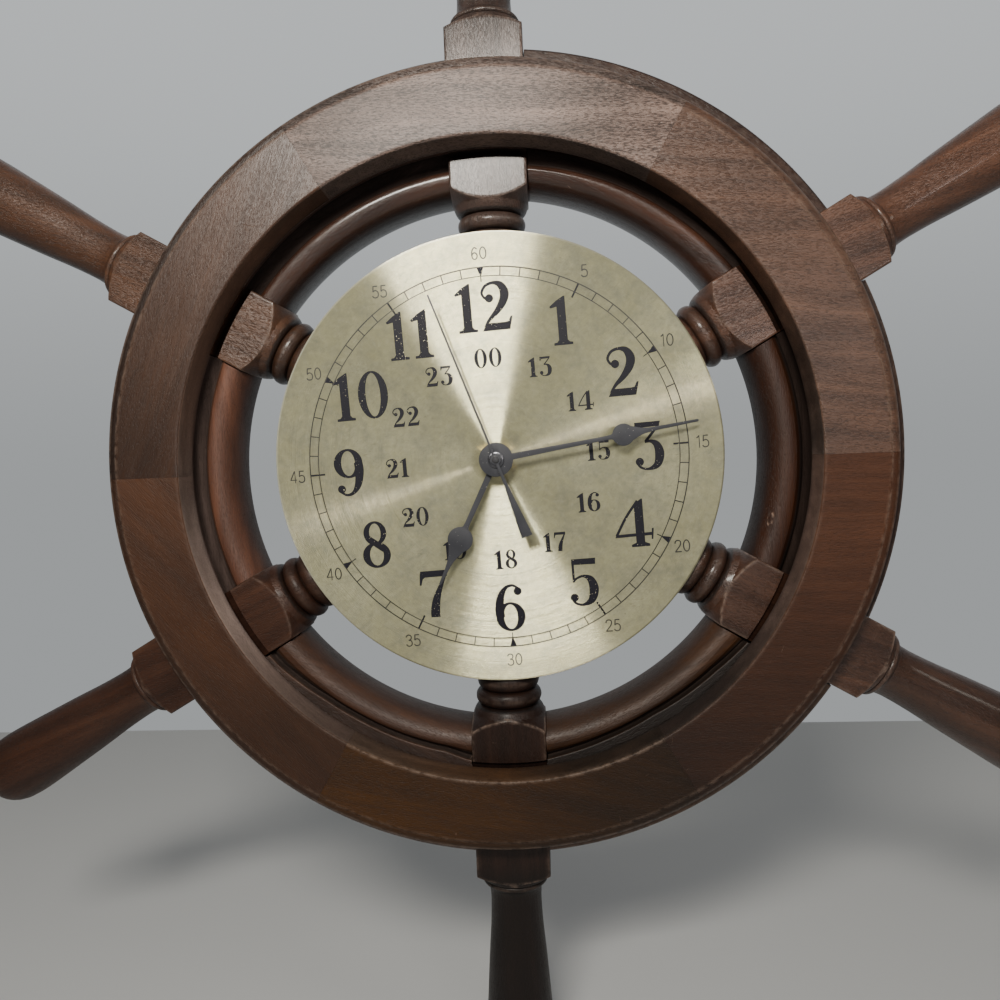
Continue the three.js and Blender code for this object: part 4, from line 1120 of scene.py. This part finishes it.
def plain_digit(ch):
    w = 0.100
    if ch == "0":
        return [oval(0.29, 0.5, 0.29, 0.5, 0.29 - w, 0.5 - w)], 0.58
    if ch == "1":
        return [strip([(0.07, 0.80), (0.17, 0.86), (0.27, 0.97)], [w] * 3), poly((0.235, 0), (0.31, 0), (0.31, 1.0), (0.235, 1.0))], 0.40
    if ch == "2":
        return [strip([(0.05, 0.72), (0.11, 0.91), (0.28, 0.965), (0.46, 0.90), (0.50, 0.72), (0.41, 0.50), (0.20, 0.24), (0.045, 0.05)], [w] * 8),
                poly((0.03, 0), (0.55, 0), (0.55, w), (0.03, w))], 0.58
    if ch == "3":
        return [strip([(0.05, 0.79), (0.13, 0.92), (0.28, 0.965), (0.44, 0.89), (0.475, 0.73), (0.39, 0.58), (0.23, 0.535)], [w] * 7),
                strip([(0.23, 0.535), (0.43, 0.49), (0.51, 0.30), (0.45, 0.10), (0.27, 0.037), (0.11, 0.08), (0.035, 0.21)], [w] * 7)], 0.57
    if ch == "4":
        return [poly((0.38, 0), (0.455, 0), (0.455, 1.0), (0.38, 1.0)), strip([(0.40, 0.975), (0.22, 0.63), (0.03, 0.27)], [w] * 3),
                poly((0.0, 0.225), (0.57, 0.225), (0.57, 0.30), (0.0, 0.30))], 0.60
    if ch == "5":
        return [poly((0.11, 1 - w), (0.49, 1 - w), (0.49, 1.0), (0.11, 1.0)), strip([(0.135, 0.97), (0.11, 0.73), (0.085, 0.50)], [w] * 3),
                strip([(0.08, 0.50), (0.18, 0.59), (0.32, 0.605), (0.46, 0.51), (0.51, 0.32), (0.45, 0.11), (0.27, 0.037), (0.11, 0.08), (0.03, 0.20)], [w] * 9)], 0.57
    return [oval(0.285, 0.305, 0.255, 0.305, 0.255 - w, 0.305 - w),
            strip([(0.068, 0.33), (0.075, 0.58), (0.16, 0.83), (0.31, 0.962), (0.50, 0.85)], [w] * 5)], 0.58


class Sheet:
    """Collects flat print; every bit lies a hair above the one before."""

    def __init__(self):
        self.V, self.F, self.n, self.z = [], [], 0, 0.030

    def add(self, v, f):
        v = np.asarray(v, float)
        self.V.append(np.column_stack([v, np.full(len(v), self.z)]))
        self.F += [tuple(i + self.n for i in q) for q in f]
        self.n += len(v)
        self.z = 0.030 + (self.z - 0.030 + 0.0007) % 0.02

    def text(self, s, cx, cy, height, digit, gap=0.07, wide=1.0, **kw):
        glyphs = [digit(c, **kw) for c in s]
        total = sum(g[1] for g in glyphs) + gap * (len(s) - 1)
        x = -total / 2
        for parts, w in glyphs:
            for v, f in parts:
                q = (v + np.array([x, -0.5])) * height * np.array([wide, 1.0])
                self.add(q + np.array([cx, cy]), f)
            x += w + gap

    def object(self, name, mat):
        V = turn(np.concatenate(self.V), -DIAL_TURN) + CLOCK
        ob = build(name, V, self.F, keep_normals=True)
        bm = bmesh.new()
        bm.from_mesh(ob.data)
        for f in bm.faces:
            f.normal_update()
            if f.normal.y > 0:
                f.normal_flip()
        bmesh.ops.triangulate(bm, faces=bm.faces)
        bm.to_mesh(ob.data)
        bm.free()
        return finish(ob, mat, "wheel")


def at(hours, R):
    a = math.radians(hours * 30)
    return R * math.sin(a), R * math.cos(a)


figures, lines = Sheet(), Sheet()
for hcount in range(1, 13):
    x, y = at(hcount, 59.6 if hcount not in (10, 11, 12) else 59.8)
    figures.text(str(hcount), x, y, 18.9, serif_digit, wide=0.98)
    x, y = at(hcount, 40.0)
    figures.text(str((hcount + 12) % 24).zfill(2), x, y, 7.6, serif_digit, gap=0.09, wide=1.0, b=1.10)
for m in range(0, 60, 5):
    x, y = at(m / 5, 80.6)
    lines.text(str(m or 60), x, y, 4.9, plain_digit, gap=0.09, wide=1.0)


def circle_line(R, w):
    a = np.linspace(0, 2 * np.pi, 360, endpoint=False)
    V = np.concatenate([np.stack([r * np.sin(a), r * np.cos(a)], 1) for r in (R - w / 2, R + w / 2)])
    lines.add(V, [(i, (i + 1) % 360, 360 + (i + 1) % 360, 360 + i) for i in range(360)])


circle_line(75.2, 0.44)
circle_line(71.7, 0.36)
for m in range(60):
    a = math.radians(m * 6)
    u, t = np.array([math.sin(a), math.cos(a)]), np.array([math.cos(a), -math.sin(a)])
    big = (m % 10 == 0)
    bold = (m % 5 == 0)
    r0, w0 = (71.7, 0.44)
    if bold:
        r0, w0 = (69.3, 0.70) if not big else (69.6, 0.36)
    target = figures if bold else lines
    target.add([u * r0 - t * w0 / 2, u * r0 + t * w0 / 2, u * 75.2 + t * w0 / 2, u * 75.2 - t * w0 / 2], [(0, 1, 2, 3)])
    if big:
        figures.add([u * 75.2 - t * 1.35, u * 75.2 + t * 1.35, u * 71.2], [(0, 1, 2)])
figures.object("dial_figures", INK)
lines.object("dial_lines", LINE_INK)


# ------------------------------------------------------------------ hands
def contour(name, outlines, z0, z1, bevel, deg, mat, body, nodes, sag=0.0):
    """A plate with softened edges from closed outlines, holes included. It
    bends down to the dial by sag at 54.5 mm from the middle."""
    cu = bpy.data.curves.new(name, "CURVE")
    cu.dimensions = "2D"
    cu.fill_mode = "BOTH"
    for pts in outlines:
        sp = cu.splines.new("POLY")
        sp.points.add(len(pts) - 1)
        for q, (x, y) in zip(sp.points, pts):
            q.co = (x, y, 0, 1)
        sp.use_cyclic_u = True
    cu.extrude = (z1 - z0) / 2 - bevel
    cu.bevel_depth = bevel
    cu.bevel_resolution = 2
    cu.offset = -bevel
    tmp = bpy.data.objects.new(name + "_tmp", cu)
    scene.collection.objects.link(tmp)
    dg = bpy.context.evaluated_depsgraph_get()
    me = bpy.data.meshes.new_from_object(tmp.evaluated_get(dg))
    bpy.data.objects.remove(tmp)
    co = np.zeros(len(me.vertices) * 3)
    me.vertices.foreach_get("co", co)
    co = co.reshape(-1, 3) + np.array([0, 0, (z0 + z1) / 2])
    co[:, 2] -= sag * (np.clip(co[:, 1] - 8.0, 0, None) / 46.5) ** 2
    V = turn(co, deg) + CLOCK
    F = [tuple(p.vertices) for p in me.polygons]
    bpy.data.meshes.remove(me)
    ob = build(name, V, F)
    bm = bmesh.new()
    bm.from_mesh(ob.data)
    bmesh.ops.remove_doubles(bm, verts=bm.verts, dist=1e-6)
    bmesh.ops.recalc_face_normals(bm, faces=bm.faces)
    bm.to_mesh(ob.data)
    bm.free()
    return finish(ob, mat, body, nodes, angle=40)


def hand_outline(side, R):
    """side: half outline going up from the boss; the boss is a disc of radius R."""
    side = np.asarray(side, float)
    j = math.sqrt(R * R - side[0][0] ** 2)
    right = [(side[0][0], j)] + [tuple(p) for p in side[1:]]
    left = [(-x, y) for x, y in right[::-1] if x > 1e-6]
    a0 = math.atan2(j, -side[0][0])
    a1 = math.atan2(j, side[0][0]) + 2 * math.pi
    boss = [(R * math.cos(a), R * math.sin(a)) for a in np.linspace(a0, a1, 46)[1:-1]]
    return right + left + boss


def round_hole(r, n=36):
    return [(r * math.cos(a), -r * math.sin(a)) for a in np.linspace(0, 2 * math.pi, n, endpoint=False)]


def lobe(rad, y, w0, w1, n=22):
    a0, a1 = -math.pi / 2 + math.asin(w0 / rad), math.pi / 2 - math.asin(w1 / rad)
    return [(rad * math.cos(a), y + rad * math.sin(a)) for a in np.linspace(a0, a1, n)]


BLACK = MAT["black_hands"]
hour_side = ([(1.2, 0), (1.05, 22.0), (1.0, 27.5), (1.15, 29.2)] + lobe(5.0, 34.5, 1.6, 3.2) + [tuple(p) for p in catmull(
    [(2.75, 39.6), (1.45, 43.0), (0.85, 47.0), (0.62, 51.0)], 5)] + [(0.45, 54.0), (0.0, 54.5)])
contour("hour_hand_plate", [hand_outline(hour_side, 6.0), round_hole(2.9)], 4.6, 5.1, 0.10, HOUR_AT, BLACK, "hour_group", ["hour_hand"])
minute_side = ([(1.25, 0), (0.9, 30.0), (0.8, 43.5), (0.95, 45.2)] + lobe(4.3, 50.0, 1.3, 2.8) + [tuple(p) for p in catmull(
    [(2.35, 54.4), (1.25, 57.6), (0.8, 62.0), (0.66, 70.0)], 5)] + [(0.5, 79.0), (0.0, 79.5)])
contour("minute_hand_plate", [hand_outline(minute_side, 6.65), round_hole(1.8)], 6.6, 7.1, 0.10, MINUTE_AT, BLACK, "minute_group", ["minute_hand"], sag=1.15)
j = math.sqrt(4.0 - 0.42 ** 2)
j2 = math.sqrt(4.0 - 0.55 ** 2)
right = [(0.42, j), (0.44, 12.0), (0.40, 30.0), (0.33, 67.7), (0.0, 68.0)]
left = [(-0.33, 67.7), (-0.40, 30.0), (-0.44, 12.0), (-0.42, j)]
arc_l = [(2.0 * math.cos(a), 2.0 * math.sin(a)) for a in np.linspace(math.atan2(j, -0.42), math.atan2(-j2, -0.55) + 2 * math.pi, 18)[1:-1]]
tail = [(-0.55, -j2), (-0.70, -10.0), (-2.25, -32.0), (2.25, -32.0), (0.70, -10.0), (0.55, -j2)]
arc_r = [(2.0 * math.cos(a), 2.0 * math.sin(a)) for a in np.linspace(math.atan2(-j2, 0.55), math.atan2(j, 0.42), 18)[1:-1]]
second = contour("second_hand_blade", [right + left + arc_l + tail + arc_r], 9.2, 9.5, 0.06, SECOND_AT, BLACK, "second_group", ["second_hand"])
V, F = lathe_z([(0.9, 8.88), (1.2, 9.0), (1.2, 9.9), (1.05, 10.08), (0.5, 10.1)], 40, (CLOCK[0], CLOCK[1]))
boss = build("second_hand_boss", V, F)
finish(boss, metal("boss_metal", (0.10, 0.10, 0.11), (0.16, 0.16, 0.17), 0.30, speck=(0.04, 0.04, 0.04)), "second_group", ["second_hand"])
V, F = ring_z([(1.75, 7.28), (3.0, 7.28), (3.1, 7.38), (3.1, 7.75), (2.95, 7.88), (2.55, 7.95), (2.45, 8.2), (2.3, 8.3), (1.75, 8.3)], 64,
              (CLOCK[0], CLOCK[1]))
nut = build("hand_nut_turned", V, F)
finish(nut, metal("nut_metal", (0.16, 0.16, 0.18), (0.26, 0.26, 0.28), 0.28, speck=(0.06, 0.06, 0.06)), "minute_group", ["hand_nut"])


# ------------------------------------------------------- floor and lights
def floor_material():
    s = Shader("floor")
    p = s.vmath("SCALE", s.pos(), scale=1.0)
    soft = s.noise(p, 1.3, 3.0, 0.5)
    s.set(Base_Color=s.mix(s.maprange(soft, 0.3, 0.7, 0.0, 1.0), (0.60, 0.60, 0.595), (0.63, 0.63, 0.625)), Roughness=0.85,
          Normal=s.bump(s.noise(p, 60.0, 3.0, 0.6), 0.0005, 0.3))
    return s.mat


me = bpy.data.meshes.new("floor")
me.from_pydata([(-2.6, -1.9, -0.2605), (2.6, -1.9, -0.2605), (2.6, 0.40, -0.2605), (-2.6, 0.46, -0.2605)], [], [(0, 1, 2, 3)])
me.materials.append(floor_material())
floor = bpy.data.objects.new("floor", me)
scene.collection.objects.link(floor)

dial_centre = Vector(world(CLOCK[None])[0])


def panel(name, azimuth, half, near, far, depth, energy, colour):
    """A soft box in a plane in front of the wheel. It spans near..far, the
    tangents of its angles off the dial's face, and +-half degrees round it."""
    a = math.radians(azimuth)
    mid = (near + far) / 2
    out = Vector((math.sin(a), 0, math.cos(a)))
    across = Vector((math.cos(a), 0, -math.sin(a)))
    li = bpy.data.lights.new(name, "AREA")
    li.shape = "RECTANGLE"
    li.size = 2 * depth * mid * math.tan(math.radians(half))
    li.size_y = depth * (far - near)
    li.energy = energy
    li.color = colour
    ob = bpy.data.objects.new(name, li)
    scene.collection.objects.link(ob)
    spot = dial_centre + out * (depth * mid) + Vector((0, -depth, 0))
    z = Vector((0, -1, 0))
    ob.matrix_world = Matrix.Translation(spot) @ Matrix((across, out, z)).transposed().to_4x4()
    return ob


KEY = (1.0, 0.96, 0.87)
for i, (near, far, watts) in enumerate([(0.46, 0.55, 1.22), (0.55, 0.64, 2.00), (0.64, 0.73, 2.48)]):
    panel(f"key_{i + 1}", -14.25, 19.75, near, far, 0.55, watts, KEY)
panel("side_far", 65.2, 2.4, 1.6, 2.5, 0.60, 1.5, (1.0, 0.97, 0.85))
panel("side_near", 72.3, 2.0, 0.40, 0.75, 0.75, 0.50, (1.0, 0.90, 0.86))
panel("fill", 78.0, 34.0, 0.20, 0.65, 0.75, 0.55, (1.0, 0.98, 0.96))


w = bpy.data.worlds.new("studio")
scene.world = w
w.use_nodes = True
nt = w.node_tree
bg = nt.nodes["Background"]
sx = nt.nodes.new("ShaderNodeSeparateXYZ")
nt.links.new(nt.nodes.new("ShaderNodeTexCoord").outputs["Generated"], sx.inputs[0])


def ease(socket, a, b, c, d):
    n = nt.nodes.new("ShaderNodeMapRange")
    n.interpolation_type = "SMOOTHSTEP"
    nt.links.new(socket, n.inputs["Value"])
    for k, v in (("From Min", a), ("From Max", b), ("To Min", c), ("To Max", d)):
        if isinstance(v, bpy.types.NodeSocket):
            nt.links.new(v, n.inputs[k])
        else:
            n.inputs[k].default_value = v
    return n.outputs[0]


front_level = ease(sx.outputs[2], -0.15, 0.55, 0.03, 0.15)
back_level = ease(sx.outputs[2], -0.05, 0.50, 0.37, 0.60)
bg.inputs["Color"].default_value = (0.96, 1.0, 1.02, 1.0)
nt.links.new(ease(sx.outputs[1], 0.42, 0.76, front_level, back_level), bg.inputs["Strength"])

# ------------------------------------------------------------------ camera
Mw = np.array([[0.99777, -0.03672, -0.05571], [-0.03302, -0.99728, 0.06596], [-0.05798, -0.06397, -0.99627]])
q, _ = np.linalg.qr(Mw.T)
q = q * np.sign(np.sum(q * Mw.T, axis=0))
right_v, down_v, fwd_v = q.T


def axis(v):
    return Vector((v[0], -v[2], v[1]))


cam_data = bpy.data.cameras.new("camera")
cam_data.sensor_width = 36.0
cam_data.lens = 28.8
cam_data.clip_start, cam_data.clip_end = 0.01, 60.0
cam = bpy.data.objects.new("camera", cam_data)
scene.collection.objects.link(cam)
rot = Matrix((axis(right_v), axis(-down_v), axis(-fwd_v))).transposed()
place = Vector(world(np.array([[19.63, 6.49, 316.58]]))[0])
cam.matrix_world = Matrix.Translation(place) @ rot.to_4x4()
scene.camera = cam
